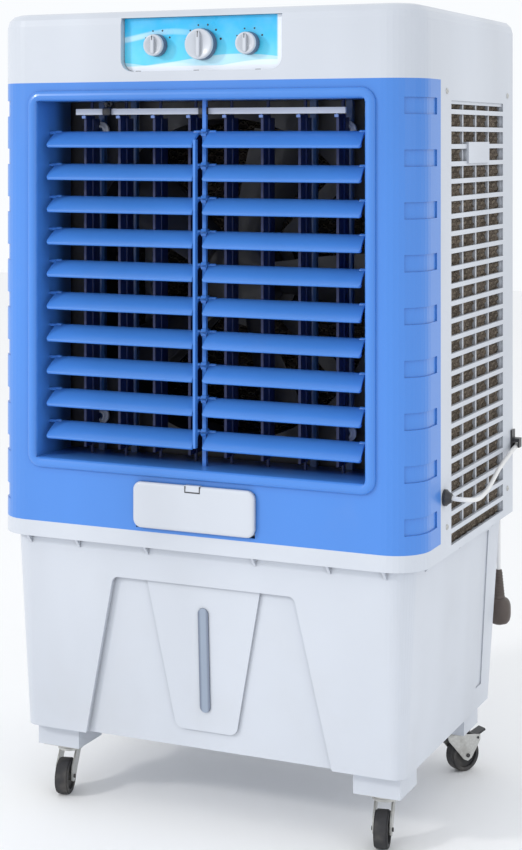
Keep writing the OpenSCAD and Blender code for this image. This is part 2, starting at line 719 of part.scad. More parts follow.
module caster_plates() color(zinc) place() both_sides() for (y = [caster_y0, caster_y1]) difference() {
  union() {
    block([caster_x - 30, y - 30, plate_z - 3], [caster_x + 30, y + 30, plate_z]);
    bar_z(19, plate_z - 9, plate_z - 2, caster_x, y);
  }
  bar_z(6 + run_gap, plate_z - 10, plate_z - 2, caster_x, y);
  for (dx = [-20, 20], dy = [-20, 20]) bar_z(2.5, plate_z - 4, plate_z + 1, caster_x + dx, y + dy);
}

// Places a caster part: swivel axis at the origin, wheel towards +X
module at_caster(x, y, heading) place() translate([x, y, 0]) rotate([0, 0, heading]) children();

module fork(pedal) color(zinc) {
  leg_in = wheel_w / 2 + 1.5;
  bar_z(19, plate_z - 13, plate_z - 9.5, 0, 0);
  bar_z(6, plate_z - 13, plate_z - 3, 0, 0);
  for (s = [0, 1]) mirror([0, s, 0]) difference() {
    translate([0, leg_in + 2.5, 0]) rotate([90, 0, 0]) linear_extrude(2.5)
      polygon([[-13, plate_z - 12.5], [13, plate_z - 12.5], pedal ? [trail + 26, 56] : [trail + 6, 44],
        pedal ? [trail + 26, 48] : [trail + 8, 34], [trail + 8, 22], [trail, 18], [trail - 8, 22], [-11, 56]]);
    bar_y(3 + run_gap, leg_in - 1, leg_in + 4, trail, wheel_r);
    if (pedal) bar_y(2 + run_gap, leg_in - 1, leg_in + 4, trail + 21, 52);
  }
}

// Wheel with its axle, hub and tyre
module wheel() color(black) {
  difference() {
    union() {
      bar_y(wheel_r, -wheel_w / 2 + 2, wheel_w / 2 - 2, trail, wheel_r);
      bar_y(wheel_r - 1.5, -wheel_w / 2, wheel_w / 2, trail, wheel_r);
    }
    for (y = [-wheel_w / 2 - 1, wheel_w / 2 - 4]) difference() {
      bar_y(wheel_r - 7, y, y + 5, trail, wheel_r);
      bar_y(7, y - 1, y + 6, trail, wheel_r);
    }
  }
  bar_y(3, -wheel_w / 2 - 6, wheel_w / 2 + 6, trail, wheel_r);
}

// Foot lever that presses on the tyre
module pedal() color(black) {
  bar_y(2, -wheel_w / 2 - 5, wheel_w / 2 + 5, trail + 21, 52);
  bar_y(3.5, -wheel_w / 2 + 1, wheel_w / 2 - 1, trail + 21, 52);
  translate([trail + 21, 0, 52]) rotate([0, -20, 0]) block([1, -wheel_w / 2 + 2, -1], [22, wheel_w / 2 - 2, 2.5]);
}

module caster_fork_fl() at_caster(-caster_x, caster_y0, heading_fl) fork(false);
module caster_fork_fr() at_caster(caster_x, caster_y0, heading_fr) fork(false);
module caster_fork_rl() at_caster(-caster_x, caster_y1, heading_rl) fork(true);
module caster_fork_rr() at_caster(caster_x, caster_y1, heading_rr) fork(true);
module caster_wheel_fl() at_caster(-caster_x, caster_y0, heading_fl) wheel();
module caster_wheel_fr() at_caster(caster_x, caster_y0, heading_fr) wheel();
module caster_wheel_rl() at_caster(-caster_x, caster_y1, heading_rl) wheel();
module caster_wheel_rr() at_caster(caster_x, caster_y1, heading_rr) wheel();
module brake_pedal_rl() at_caster(-caster_x, caster_y1, heading_rl) pedal();
module brake_pedal_rr() at_caster(caster_x, caster_y1, heading_rr) pedal();

// ---------- mains lead ----------

// Tube of eight sides along a route
function unit(v) = v / norm(v);
function ring_at(route, i, r) =
  let (n = len(route), t = unit(route[min(i + 1, n - 1)] - route[max(i - 1, 0)]),
    u = unit(cross(t, [0.5, 0.5, 0.7])), v = cross(t, u))
  [for (a = [0:45:315]) route[i] + r * (cos(a) * u + sin(a) * v)];
module tube(route, r) skin([for (i = [0:len(route) - 1]) ring_at(route, i, r)]);

// Corner clip that keeps the lead off the rear edge
module corner_clip() {
  x = body_w / 2;
  block([x, 459, 511], [x + 2.6, 477, 546]);
  block([x, 461, 527], [x + 14, 475, 533]);
  block([x + 11.4, 461, 518], [x + 14, 475, 533]);
}

module cable_gland() color(black) place() {
  corner_clip();
  gland();
}
module gland() difference() {
  union() {
    bar_x(8, in_w / 2 - 6, body_w / 2 + 1, gland_y, gland_z);
    bar_x(12, in_w / 2 - 6, in_w / 2, gland_y, gland_z);
    bar_x(12, body_w / 2, body_w / 2 + 4, gland_y, gland_z);
    translate([body_w / 2 + 4, gland_y, gland_z]) rotate([0, 90, 0]) cylinder(r1 = 11, r2 = 6, h = 8, $fn = 48);
  }
  bar_x(lead_dia / 2, body_w / 2 - 5, body_w / 2 + 12 + 1, gland_y, gland_z);
}
module mains_lead() color([0.93, 0.93, 0.93]) place() {
  tube(lead_route, lead_dia / 2);
  tube(tail_route, lead_dia / 2);
}

// Solid round the wound turns, hanging on the peg
module lead_coil() color([0.93, 0.93, 0.93]) place()
  translate([coil_x, coil_y1, coil_z]) rotate([90, 0, 0]) rotate_extrude($fn = 64)
    translate([coil_r - lead_dia, 0]) square([2 * lead_dia, coil_y1 - coil_y0]);

// Angled mains plug with a tapered strain relief, its pins along the rear wall
module mains_plug() color([0.85, 0.85, 0.85]) place() translate([tail_route[13][0], tail_route[13][1], plug_z]) {
  translate([0, 0, -44]) cylinder(r1 = 10, r2 = 5.5, h = 44, $fn = 48);
  translate([0, 0, -91]) linear_extrude(48) polygon(round_rect(40, -15, 15, 12));
  for (y = [-9.5, 9.5]) bar_x(2.4, -39, -19, y, -68);
}

// Peg on the rear face that carries the coil, with a lip at its end
module cord_hook() color(shell_white) place() {
  z = coil_z + coil_r - lead_dia - peg_r - 0.3;
  bar_y(peg_r, body_d, body_d + peg_reach - 2, coil_x, z);
  bar_y(peg_r + 5, body_d + peg_reach - 3, body_d + peg_reach, coil_x, z);
}

top_cap();
front_frame();
body_shell();
water_tank();
control_plate();
side_grilles();
rear_grille();
cooling_pads();
fan_shroud();
fan_motor();
fan_impeller();
water_pump();
water_distributor();
level_gauge();
level_float();
fill_flap();
knob_cool();
knob_speed();
knob_swing();
swing_motor();
swing_crank();
vane_link();
louvre_link();
cable_gland();
mains_lead();
lead_coil();
mains_plug();
cord_hook();
inlet_valve();
valve_float();
drain_plug();
caster_plates();
caster_fork_fl();
caster_fork_fr();
caster_fork_rl();
caster_fork_rr();
caster_wheel_fl();
caster_wheel_fr();
caster_wheel_rl();
caster_wheel_rr();
brake_pedal_rl();
brake_pedal_rr();
louvre(1);  // louvre_01
louvre(2);  // louvre_02
louvre(3);  // louvre_03
louvre(4);  // louvre_04
louvre(5);  // louvre_05
louvre(6);  // louvre_06
louvre(7);  // louvre_07
louvre(8);  // louvre_08
louvre(9);  // louvre_09
louvre(10);  // louvre_10
vane(1);  // vane_01
vane(2);  // vane_02
vane(3);  // vane_03
vane(4);  // vane_04
vane(5);  // vane_05
vane(6);  // vane_06
vane(7);  // vane_07
vane(8);  // vane_08
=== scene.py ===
"""Looks of a mobile evaporative cooler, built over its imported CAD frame.

The frame gives every place and size. This script adds the camera, the light, the mains lead, the finer
moulded pieces and the finishes. All lengths are metres.
"""

from __future__ import annotations

import json
import logging
import math
from dataclasses import dataclass, field
from enum import Enum
from typing import Callable, Sequence

import bmesh
import bpy
from mathutils import Matrix, Vector


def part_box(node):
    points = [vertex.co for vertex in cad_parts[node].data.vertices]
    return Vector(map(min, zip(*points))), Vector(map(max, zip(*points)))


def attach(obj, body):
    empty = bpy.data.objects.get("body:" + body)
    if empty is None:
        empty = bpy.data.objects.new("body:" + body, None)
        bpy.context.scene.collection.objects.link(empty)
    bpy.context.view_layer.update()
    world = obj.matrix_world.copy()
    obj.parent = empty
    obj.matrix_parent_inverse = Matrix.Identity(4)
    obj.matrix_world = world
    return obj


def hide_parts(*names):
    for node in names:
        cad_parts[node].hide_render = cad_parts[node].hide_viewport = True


log = logging.getLogger("cooler")

CABINET_DEPTH = 0.485

Point = tuple[float, float, float]
Colour = tuple[float, float, float]


# ---------------------------------------------------------------- shader helpers


class Value:
    """One float socket of a shader tree, on which Python arithmetic adds Math nodes."""

    def __init__(self, tree: bpy.types.NodeTree, socket: bpy.types.NodeSocket) -> None:
        """Keep the tree and the output socket."""
        self.tree = tree
        self.socket = socket

    def _math(self, operation: str, *operands: "Value | float") -> "Value":
        """Add one Math node.

        Args:
            operation: Blender's name of the operation.
            operands: sockets or numbers, in order.

        Returns:
            The node's result.
        """
        node = self.tree.nodes.new("ShaderNodeMath")
        node.operation = operation
        for index, operand in enumerate(operands):
            if isinstance(operand, Value):
                self.tree.links.new(operand.socket, node.inputs[index])
            else:
                node.inputs[index].default_value = float(operand)
        return Value(self.tree, node.outputs[0])

    def __add__(self, other: "Value | float") -> "Value":
        """Sum."""
        return self._math("ADD", self, other)

    def __radd__(self, other: float) -> "Value":
        """Sum with a number on the left."""
        return self._math("ADD", other, self)

    def __sub__(self, other: "Value | float") -> "Value":
        """Difference."""
        return self._math("SUBTRACT", self, other)

    def __rsub__(self, other: float) -> "Value":
        """Difference from a number."""
        return self._math("SUBTRACT", other, self)

    def __mul__(self, other: "Value | float") -> "Value":
        """Product."""
        return self._math("MULTIPLY", self, other)

    def __rmul__(self, other: float) -> "Value":
        """Product with a number on the left."""
        return self._math("MULTIPLY", other, self)

    def __truediv__(self, other: "Value | float") -> "Value":
        """Quotient."""
        return self._math("DIVIDE", self, other)

    def sin(self) -> "Value":
        """Sine of the value in radians."""
        return self._math("SINE", self)

    def abs(self) -> "Value":
        """Size without the sign."""
        return self._math("ABSOLUTE", self)

    def step(self, low: float, high: float) -> "Value":
        """Smooth rise from 0 at low to 1 at high, or the reverse where high is the smaller."""
        node = self.tree.nodes.new("ShaderNodeMapRange")
        node.interpolation_type = "SMOOTHSTEP"
        flipped = high < low
        node.inputs["From Min"].default_value = min(low, high)
        node.inputs["From Max"].default_value = max(low, high)
        node.inputs["To Min"].default_value = 1.0 if flipped else 0.0
        node.inputs["To Max"].default_value = 0.0 if flipped else 1.0
        self.tree.links.new(self.socket, node.inputs["Value"])
        return Value(self.tree, node.outputs["Result"])


class Shader:
    """One material under construction."""

    def __init__(self, name: str) -> None:
        """Start an empty material with one Principled shader."""
        self.material = bpy.data.materials.new(name)
        self.material.use_nodes = True
        self.tree = self.material.node_tree
        self.tree.nodes.clear()
        output = self.tree.nodes.new("ShaderNodeOutputMaterial")
        self.surface = self.tree.nodes.new("ShaderNodeBsdfPrincipled")
        self.tree.links.new(self.surface.outputs[0], output.inputs["Surface"])

    def node(self, kind: str, settings: dict[str, object] | None = None, **inputs: object) -> bpy.types.Node:
        """Add a node.

        Args:
            kind: Blender's node type.
            settings: attributes that are set first.
            inputs: values or links by socket name, with underscores for spaces.

        Returns:
            The new node.
        """
        node = self.tree.nodes.new(kind)
        for key, value in (settings or {}).items():
            setattr(node, key, value)
        for key, value in inputs.items():
            self.feed(node.inputs[key.replace("_", " ")], value)
        return node

    def feed(self, socket: bpy.types.NodeSocket, value: object) -> None:
        """Link a socket or Value to a socket, or set a plain value on it."""
        if isinstance(value, Value):
            self.tree.links.new(value.socket, socket)
        elif isinstance(value, bpy.types.NodeSocket):
            self.tree.links.new(value, socket)
        else:
            socket.default_value = value

    def axes(self) -> tuple[Value, Value, Value]:
        """Return the object coordinates X, Y and Z, in metres."""
        coords = self.node("ShaderNodeTexCoord").outputs["Object"]
        split = self.node("ShaderNodeSeparateXYZ", Vector=coords)
        return tuple(Value(self.tree, split.outputs[i]) for i in range(3))

    def noise(self, scale: float, detail: float = 3.0, stretch: Point = (1.0, 1.0, 1.0)) -> Value:
        """Return a noise value.

        Args:
            scale: features per metre.
            detail: octaves.
            stretch: factor on each coordinate.

        Returns:
            The noise, around 0.5.
        """
        coords = self.node("ShaderNodeTexCoord").outputs["Object"]
        mapping = self.node("ShaderNodeMapping", Vector=coords, Scale=stretch)
        noise = self.node("ShaderNodeTexNoise", Vector=mapping.outputs[0], Scale=scale, Detail=detail)
        return Value(self.tree, noise.outputs[0])

    def mix(self, factor: Value | float, low: Colour | bpy.types.NodeSocket,
            high: Colour | bpy.types.NodeSocket, blend: str = "MIX") -> bpy.types.NodeSocket:
        """Blend two colours.

        Args:
            factor: 0 gives low and 1 gives high.
            low: first colour.
            high: second colour.
            blend: Blender's blend type.

        Returns:
            The colour socket.
        """
        node = self.node("ShaderNodeMix", {"data_type": "RGBA", "blend_type": blend})
        self.feed(node.inputs[0], factor)
        for index, colour in ((6, low), (7, high)):
            self.feed(node.inputs[index], (*colour, 1.0) if isinstance(colour, tuple) else colour)
        return node.outputs[2]

    def bump(self, height: Value, distance: float, strength: float = 1.0) -> None:
        """Feed a height in units of distance into the normal."""
        node = self.node("ShaderNodeBump", Strength=strength, Distance=distance, Height=height)
        self.tree.links.new(node.outputs[0], self.surface.inputs["Normal"])

    def set(self, **inputs: object) -> None:
        """Set or link the Principled shader's inputs by name, with underscores for spaces."""
        for key, value in inputs.items():
            if isinstance(value, tuple) and len(value) == 3:
                value = (*value, 1.0)
            self.feed(self.surface.inputs[key.replace("_", " ")], value)


# ---------------------------------------------------------------- finishes


def front_face() -> float:
    """Return the Y of the cabinet's front face."""
    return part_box("body_shell")[1][1] - CABINET_DEPTH


@dataclass(frozen=True)
class MouldedPlastic:
    """Injection-moulded plastic: faint flow tone, orange-peel, spark-eroded grain and a little dust.

    Painted shade darkens inner corners, as far out as reach. Where shade is given, painted shade darkens the
    moulding between its two depths and inside its half width. Where lip is given, a painted highlight
    lightens the edge at that depth.
    """

    name: str
    colour: Colour
    roughness: float = 0.32
    grain: float = 0.00002
    dust: float = 0.12
    dust_colour: Colour = (0.42, 0.40, 0.37)
    coat: float = 0.15
    corner_shade: float = 0.35
    reach: float = 0.010
    shade: tuple[float, float, float] | None = None
    lip: float | None = None

    def make(self) -> bpy.types.Material:
        """Build the material."""
        sh = Shader(self.name)
        x, y, z = sh.axes()
        flow = sh.noise(3.1, 3.0, (1.0, 1.0, 0.35))
        cloud = sh.noise(9.0, 5.0)
        speck = sh.noise(1400.0, 2.0)
        darker = tuple(c * 0.90 for c in self.colour)
        lighter = tuple(min(1.0, c * 1.05 + 0.004) for c in self.colour)
        base = sh.mix(flow.step(0.30, 0.70), darker, lighter)
        # Painted shade: inside the given depths and half width the moulding goes nearly black.
        if self.shade is not None:
            start, end, half = self.shade
            inside = y.step(start, end) * x.abs().step(half + 0.004, half)
            base = sh.mix(inside * 0.85, base, tuple(c * 0.12 for c in self.colour))
        # Painted highlight: the edge at the lip's depth is lightened to a pale blue.
        if self.lip is not None:
            base = sh.mix(y.step(self.lip + 0.0035, self.lip + 0.0015), base, (0.16, 0.26, 0.55))
        low_dust = z.step(0.50, 0.02) * cloud.step(0.42, 0.72) * self.dust
        settle = low_dust + cloud.step(0.60, 0.82) * (self.dust * 0.3)
        # Painted shade: ambient occlusion darkens inner corners towards a dark copy of the colour, as far out
        # as reach.
        inner = sh.node("ShaderNodeAmbientOcclusion", {"samples": 4}, Distance=self.reach)
        corner = Value(sh.tree, inner.outputs["AO"]).step(0.92, 0.45) * self.corner_shade
        corner_shade_colour = tuple(c * 0.34 for c in self.colour)
        sh.set(Base_Color=sh.mix(corner, sh.mix(settle, base, self.dust_colour), corner_shade_colour),
               Roughness=self.roughness + (cloud - 0.5) * 0.16 + settle * 0.5,
               Coat_Weight=self.coat, Coat_Roughness=0.12, IOR=1.49)
        peel = sh.noise(95.0, 2.0)
        sh.bump(speck * self.grain * 1000.0 + peel * 0.05, 0.001, 0.6)
        return sh.material


@dataclass(frozen=True)
class CellulosePad:
    """Corrugated cellulose stacked into an evaporative pad, its flutes open towards the air and painted dark
    as their shade.
    """

    name: str = "cellulose_pad"
    light: Colour = (0.235, 0.195, 0.15)
    dark: Colour = (0.085, 0.068, 0.054)
    layer: float = 0.0135
    wave: float = 0.030

    def make(self) -> bpy.types.Material:
        """Build the material."""
        sh = Shader(self.name)
        x, y, z = sh.axes()
        along = x + y
        sway = (along * (2 * math.pi / self.wave)).sin() * 1.35
        wobble = sh.noise(60.0, 2.0) * 1.2
        flute = (z * (math.pi / self.layer) + sway + wobble).sin().abs()
        opposite = (z * (math.pi / self.layer) - sway + wobble + 1.57).sin().abs()
        wall = 1.0 - (flute * opposite).step(0.10, 0.45)
        tone = sh.noise(26.0, 5.0)
        fibre = sh.noise(900.0, 3.0)
        # Painted shade: the open flutes take the dark colour, standing for the shade inside them.
        flute_shade = sh.mix(tone.step(0.35, 0.7), self.dark, tuple(c * 1.9 for c in self.dark))
        sheet = sh.mix(tone.step(0.30, 0.75), tuple(c * 0.75 for c in self.light), self.light)
        sh.set(Base_Color=sh.mix(wall * (0.8 + fibre * 0.2), flute_shade, sheet), Roughness=0.93,
               Specular_IOR_Level=0.2)
        sh.bump(wall * 0.9 + fibre * 0.12, 0.004)
        return sh.material


@dataclass(frozen=True)
class ControlLabel:
    """Printed film behind the knobs: cyan, deeper on top, with pale wave bands along the bottom."""

    centre: Point
    half_width: float
    half_height: float
    name: str = "control_label"
    deep: Colour = (0.008, 0.48, 0.86)
    bright: Colour = (0.10, 0.66, 0.92)
    pale: Colour = (0.82, 0.95, 1.0)

    def make(self) -> bpy.types.Material:
        """Build the material."""
        sh = Shader(self.name)
        x, _, z = sh.axes()
        u = (x - self.centre[0]) / self.half_width
        v = (z - self.centre[2]) / self.half_height
        ground = sh.mix(v.step(-0.6, 0.9), self.bright, self.deep)
        first = v - ((u * 2.3 + 0.6).sin() * 0.20 - 0.62)
        second = v - ((u * 3.1 - 0.9).sin() * 0.16 - 0.80)
        band = first.step(0.03, -0.01) * 0.55
        swoosh = second.step(0.03, -0.01) * 0.45
        film = sh.noise(40.0, 3.0)
        streak = (v * 5.0 + (u * 4.0).sin() * 0.8).sin().step(0.75, 1.0) * u.step(0.3, -0.9) * 0.5
        margin = v.step(-0.80, -0.84) + u.step(0.90, 0.93)
        colour = sh.mix(margin, sh.mix(band + swoosh + streak, ground, self.pale), (0.86, 0.90, 0.97))
        sh.set(Base_Color=sh.mix(film.step(0.35, 0.8) * 0.06, colour, (1.0, 1.0, 1.0)),
               Roughness=0.24 + film * 0.10, Coat_Weight=0.35, Coat_Roughness=0.08)
        sh.bump(film, 0.0002)
        return sh.material


@dataclass(frozen=True)
class PlatedSteel:
    """Pressed sheet steel with bright zinc plate: spangle, rolling lines and dulled patches."""

    name: str
    colour: Colour = (0.60, 0.60, 0.58)
    roughness: float = 0.36
    rolling: Point = (1.0, 1.0, 14.0)

    def make(self) -> bpy.types.Material:
        """Build the material."""
        sh = Shader(self.name)
        lines = sh.noise(220.0, 3.0, self.rolling)
        patch = sh.noise(45.0, 4.0)
        cell = sh.node("ShaderNodeTexVoronoi", Scale=260.0)
        sh.tree.links.new(sh.node("ShaderNodeTexCoord").outputs["Object"], cell.inputs["Vector"])
        spangle = Value(sh.tree, cell.outputs["Distance"])
        dull = patch.step(0.5, 0.78)
        base = sh.mix(spangle.step(0.1, 0.7) * 0.35, self.colour, tuple(c * 0.72 for c in self.colour))
        sh.set(Base_Color=sh.mix(dull * 0.45, base, (0.33, 0.31, 0.28)), Metallic=0.95 - dull * 0.25,
               Roughness=self.roughness + lines * 0.12 + dull * 0.22)
        sh.bump(lines, 0.00008)
        return sh.material


@dataclass(frozen=True)
class Enamel:
    """Dipped enamel on a cast or pressed housing, a little uneven and dusty."""

    name: str
    colour: Colour

    def make(self) -> bpy.types.Material:
        """Build the material."""
        sh = Shader(self.name)
        run = sh.noise(30.0, 4.0, (1.0, 1.0, 0.4))
        dust = sh.noise(14.0, 5.0).step(0.48, 0.8)
        sh.set(Base_Color=sh.mix(dust * 0.3, sh.mix(run, tuple(c * 0.8 for c in self.colour), self.colour),
                                 (0.35, 0.33, 0.30)),
               Roughness=0.38 + run * 0.1 + dust * 0.3, Coat_Weight=0.2)
        sh.bump(run + sh.noise(300.0, 2.0) * 0.3, 0.0003)
        return sh.material


@dataclass(frozen=True)
class TreadRubber:
    """Caster tread: dark, scuffed where it rolls and grey with floor dust."""

    name: str = "tread_rubber"
    colour: Colour = (0.022, 0.022, 0.024)

    def make(self) -> bpy.types.Material:
        """Build the material."""
        sh = Shader(self.name)
        scuff = sh.noise(120.0, 5.0)
        dust = sh.noise(35.0, 5.0).step(0.42, 0.75)
        sh.set(Base_Color=sh.mix(dust * 0.35, sh.mix(scuff, self.colour, tuple(c * 2.2 for c in self.colour)),
                                 (0.20, 0.185, 0.165)),
               Roughness=0.58 + scuff * 0.3, Specular_IOR_Level=0.35)
        sh.bump(scuff + sh.noise(900.0, 2.0) * 0.2, 0.0002)
        return sh.material


@dataclass(frozen=True)
class GaugeWindow:
    """Smoky clear window strip, with the dark tube and the tank's wall showing through."""

    centre_x: float
    name: str = "gauge_window"
    clear: Colour = (0.30, 0.36, 0.46)
    edge: Colour = (0.14, 0.17, 0.24)

    def make(self) -> bpy.types.Material:
        """Build the material."""
        sh = Shader(self.name)
        x, _, _ = sh.axes()
        off = (x - self.centre_x).abs()
        haze = sh.noise(50.0, 4.0, (1.0, 1.0, 0.2))
        sh.set(Base_Color=sh.mix(off.step(0.003, 0.0075) * 0.8 + haze * 0.15, self.clear, self.edge),
               Roughness=0.10 + haze * 0.12, Coat_Weight=0.6, Coat_Roughness=0.05)
        sh.bump(haze, 0.0002)
        return sh.material


@dataclass(frozen=True)
class FloorPaper:
    """Matt pale floor with the faintest tone."""

    name: str = "floor_paper"

    def make(self) -> bpy.types.Material:
        """Build the material."""
        sh = Shader(self.name)
        tone = sh.noise(0.7, 2.0)
        sh.set(Base_Color=sh.mix(tone, (0.91, 0.91, 0.92), (0.93, 0.93, 0.93)), Roughness=0.8,
               Specular_IOR_Level=0.1)
        return sh.material


class Finish(Enum):
    """The cooler's finishes, by the record's material slot."""

    BLUE = "blue_plastic"
    WHITE = "white_plastic"
    LABEL = "panel_label"
    PAD = "pad_cellulose"
    BLACK = "black_plastic"
    GREY = "grey_plastic"
    GAUGE = "gauge_clear"
    RED = "float_red"
    ORANGE = "float_orange"
    MOTOR = "motor_paint"
    ZINC = "zinc_steel"
    WHEEL = "wheel_rubber"
    SHEATH = "lead_sheath"


class Trim(Enum):
    """Finishes of single pieces that share a slot with other pieces."""

    SHADED_VANE = "vane_painted_shade"
    PLUG = "plug_brown"
    SHADED_BAND = "knob_band_shade"


class FinishBook:
    """Makes every finish once and puts it on pieces and CAD nodes."""

    def __init__(self) -> None:
        """Build the materials."""
        low, high = (Vector(corner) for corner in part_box("control_plate"))
        middle = (low + high) / 2
        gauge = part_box("level_gauge")
        front = front_face()
        self.materials: dict[Finish, bpy.types.Material] = {
            # Painted shade on the blue mouldings inside the outlet, 45 to 85 mm behind the front face.
            Finish.BLUE: MouldedPlastic("blue_moulding", (0.060, 0.235, 0.70), 0.32, coat=0.2,
                                          shade=(front + 0.045, front + 0.085, 0.270)).make(),
            Finish.WHITE: MouldedPlastic("white_moulding", (0.60, 0.635, 0.70), 0.36,
                                         dust=0.10, corner_shade=0.6).make(),
            Finish.LABEL: ControlLabel(tuple(middle), (high.x - low.x) / 2, (high.z - low.z) / 2).make(),
            Finish.PAD: CellulosePad().make(),
            Finish.BLACK: MouldedPlastic("black_moulding", (0.022, 0.022, 0.026), 0.42, 0.00004, 0.3).make(),
            Finish.GREY: MouldedPlastic("grey_moulding", (0.30, 0.33, 0.36), 0.42).make(),
            Finish.GAUGE: GaugeWindow((gauge[0][0] + gauge[1][0]) / 2).make(),
            Finish.RED: MouldedPlastic("red_float", (0.55, 0.035, 0.02), 0.30).make(),
            Finish.ORANGE: MouldedPlastic("orange_float", (0.70, 0.22, 0.03), 0.35).make(),
            Finish.MOTOR: Enamel("motor_enamel", (0.13, 0.15, 0.17)).make(),
            Finish.ZINC: PlatedSteel("zinc_plate").make(),
            Finish.WHEEL: TreadRubber().make(),
            Finish.SHEATH: MouldedPlastic("white_sheath", (0.80, 0.80, 0.80), 0.38, 0.00003, 0.2).make(),
        }
        self.trims: dict[Trim, bpy.types.Material] = {
            # The vanes are blue plastic: the near-black navy is painted shade on their sides, and lip paints
            # a highlight on their front edge.
            Trim.SHADED_VANE: MouldedPlastic("vane_shade_and_highlight", (0.006, 0.018, 0.095), 0.42, coat=0.05,
                                      lip=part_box("vane_01")[0][1]).make(),
            Trim.PLUG: MouldedPlastic("brown_plug", (0.075, 0.055, 0.047), 0.50, 0.00004, 0.3,
                                      corner_shade=0.6).make(),
            # Painted shade: the knobs' side band is dark slate while the cap stays white.
            Trim.SHADED_BAND: MouldedPlastic("knob_side_shade", (0.11, 0.15, 0.24), 0.30).make(),
        }

    def dress(self, obj: bpy.types.Object, finish: Finish | Trim) -> None:
        """Put one finish on an object."""
        obj.data.materials.clear()
        obj.data.materials.append(self.trims[finish] if isinstance(finish, Trim) else self.materials[finish])

    def dress_frame(self) -> None:
        """Put each CAD node's finish on it by the record's material slot."""
        slots = {part["node"]: part["material_slot"] for part in FRAME["record"]["subparts"]}
        for node, slot in slots.items():
            obj = bpy.data.objects.get(node)
            if obj is None:
                log.warning("no object for node %s", node)
                continue
            # Vanes take the trim with painted shade and a painted highlight instead of their slot's blue.
            self.dress(obj, Trim.SHADED_VANE if node.startswith("vane_0") else Finish(slot))


# ---------------------------------------------------------------- mesh helpers


def mesh_object(name: str, bm: bmesh.types.BMesh, smooth: bool = True) -> bpy.types.Object:
    """Turn a bmesh into an object in the scene.

    Args:
        name: the piece's name.
        bm: the finished mesh, freed here.
        smooth: whether its faces are shaded smooth.

    Returns:
        The new object.
    """
    mesh = bpy.data.meshes.new(name)
    bmesh.ops.recalc_face_normals(bm, faces=bm.faces[:])
    bm.to_mesh(mesh)
    bm.free()
    for polygon in mesh.polygons:
        polygon.use_smooth = smooth
    obj = bpy.data.objects.new(name, mesh)
    bpy.context.scene.collection.objects.link(obj)
    return obj


def soften(obj: bpy.types.Object, width: float, segments: int = 2, angle: float = 35.0) -> None:
    """Round an object's sharp edges with a bevel and keep its flats flat."""
    bevel = obj.modifiers.new("edge_round", "BEVEL")
    bevel.width = width
    bevel.segments = segments
    bevel.limit_method = "ANGLE"
    bevel.angle_limit = math.radians(angle)
    bevel.use_clamp_overlap = True
    bevel.harden_normals = False
    flats = obj.modifiers.new("flat_normals", "WEIGHTED_NORMAL")
    flats.keep_sharp = True


def lathe(bm: bmesh.types.BMesh, profile: Sequence[tuple[float, float]], place: Matrix, segments: int = 48,
          ripple: Callable[[float, float], float] | None = None) -> None:
    """Turn a profile about the local Z axis.

    Args:
        bm: mesh to add to.
        profile: radius and height of each ring, a radius of 0 closing an end.
        place: from the local frame to the part's frame.
        segments: points on each ring.
        ripple: factor on the radius by angle and height.
    """
    rings: list[list[bmesh.types.BMVert]] = []
    for radius, height in profile:
        if radius <= 0.0:
            rings.append([bm.verts.new(place @ Vector((0.0, 0.0, height)))])
            continue
        ring = []
        for i in range(segments):
            angle = 2 * math.pi * i / segments
            r = radius * (ripple(angle, height) if ripple else 1.0)
            ring.append(bm.verts.new(place @ Vector((r * math.cos(angle), r * math.sin(angle), height))))
        rings.append(ring)
    for low, high in zip(rings, rings[1:]):
        for i in range(segments):
            j = (i + 1) % segments
            if len(low) == 1:
                bm.faces.new((low[0], high[j], high[i]))
            elif len(high) == 1:
                bm.faces.new((low[i], low[j], high[0]))
            else:
                bm.faces.new((low[i], low[j], high[j], high[i]))


def loft(bm: bmesh.types.BMesh, sections: Sequence[Sequence[Vector]], capped: bool = True) -> None:
    """Skin closed sections that have the same number of points.

    Args:
        bm: mesh to add to.
        sections: rings of points in order.
        capped: whether the two ends are closed.
    """
    rings = [[bm.verts.new(p) for p in section] for section in sections]
    count = len(rings[0])
    for low, high in zip(rings, rings[1:]):
        for i in range(count):
            j = (i + 1) % count
            bm.faces.new((low[i], low[j], high[j], high[i]))
    if capped:
        bm.faces.new(list(reversed(rings[0])))
        bm.faces.new(rings[-1])


def facing(normal: Vector, centre: Vector) -> Matrix:
    """Return the frame whose Z axis is normal, at centre."""
    return Matrix.Translation(centre) @ normal.to_track_quat("Z", "Y").to_matrix().to_4x4()


def smooth_route(points: Sequence[Vector], step: float) -> list[Vector]:
    """Return points about a step apart on a Catmull-Rom curve through the given points."""
    ends = [points[0] * 2 - points[1], *points, points[-1] * 2 - points[-2]]
    route: list[Vector] = []
    for a, b, c, d in zip(ends, ends[1:], ends[2:], ends[3:]):
        count = max(1, round((c - b).length / step))
        for i in range(count):
            t = i / count
            route.append(0.5 * ((2 * b) + (c - a) * t + (2 * a - 5 * b + 4 * c - d) * t * t
                                + (3 * b - a - 3 * c + d) * t ** 3))
    return [*route, points[-1]]


# ---------------------------------------------------------------- stage


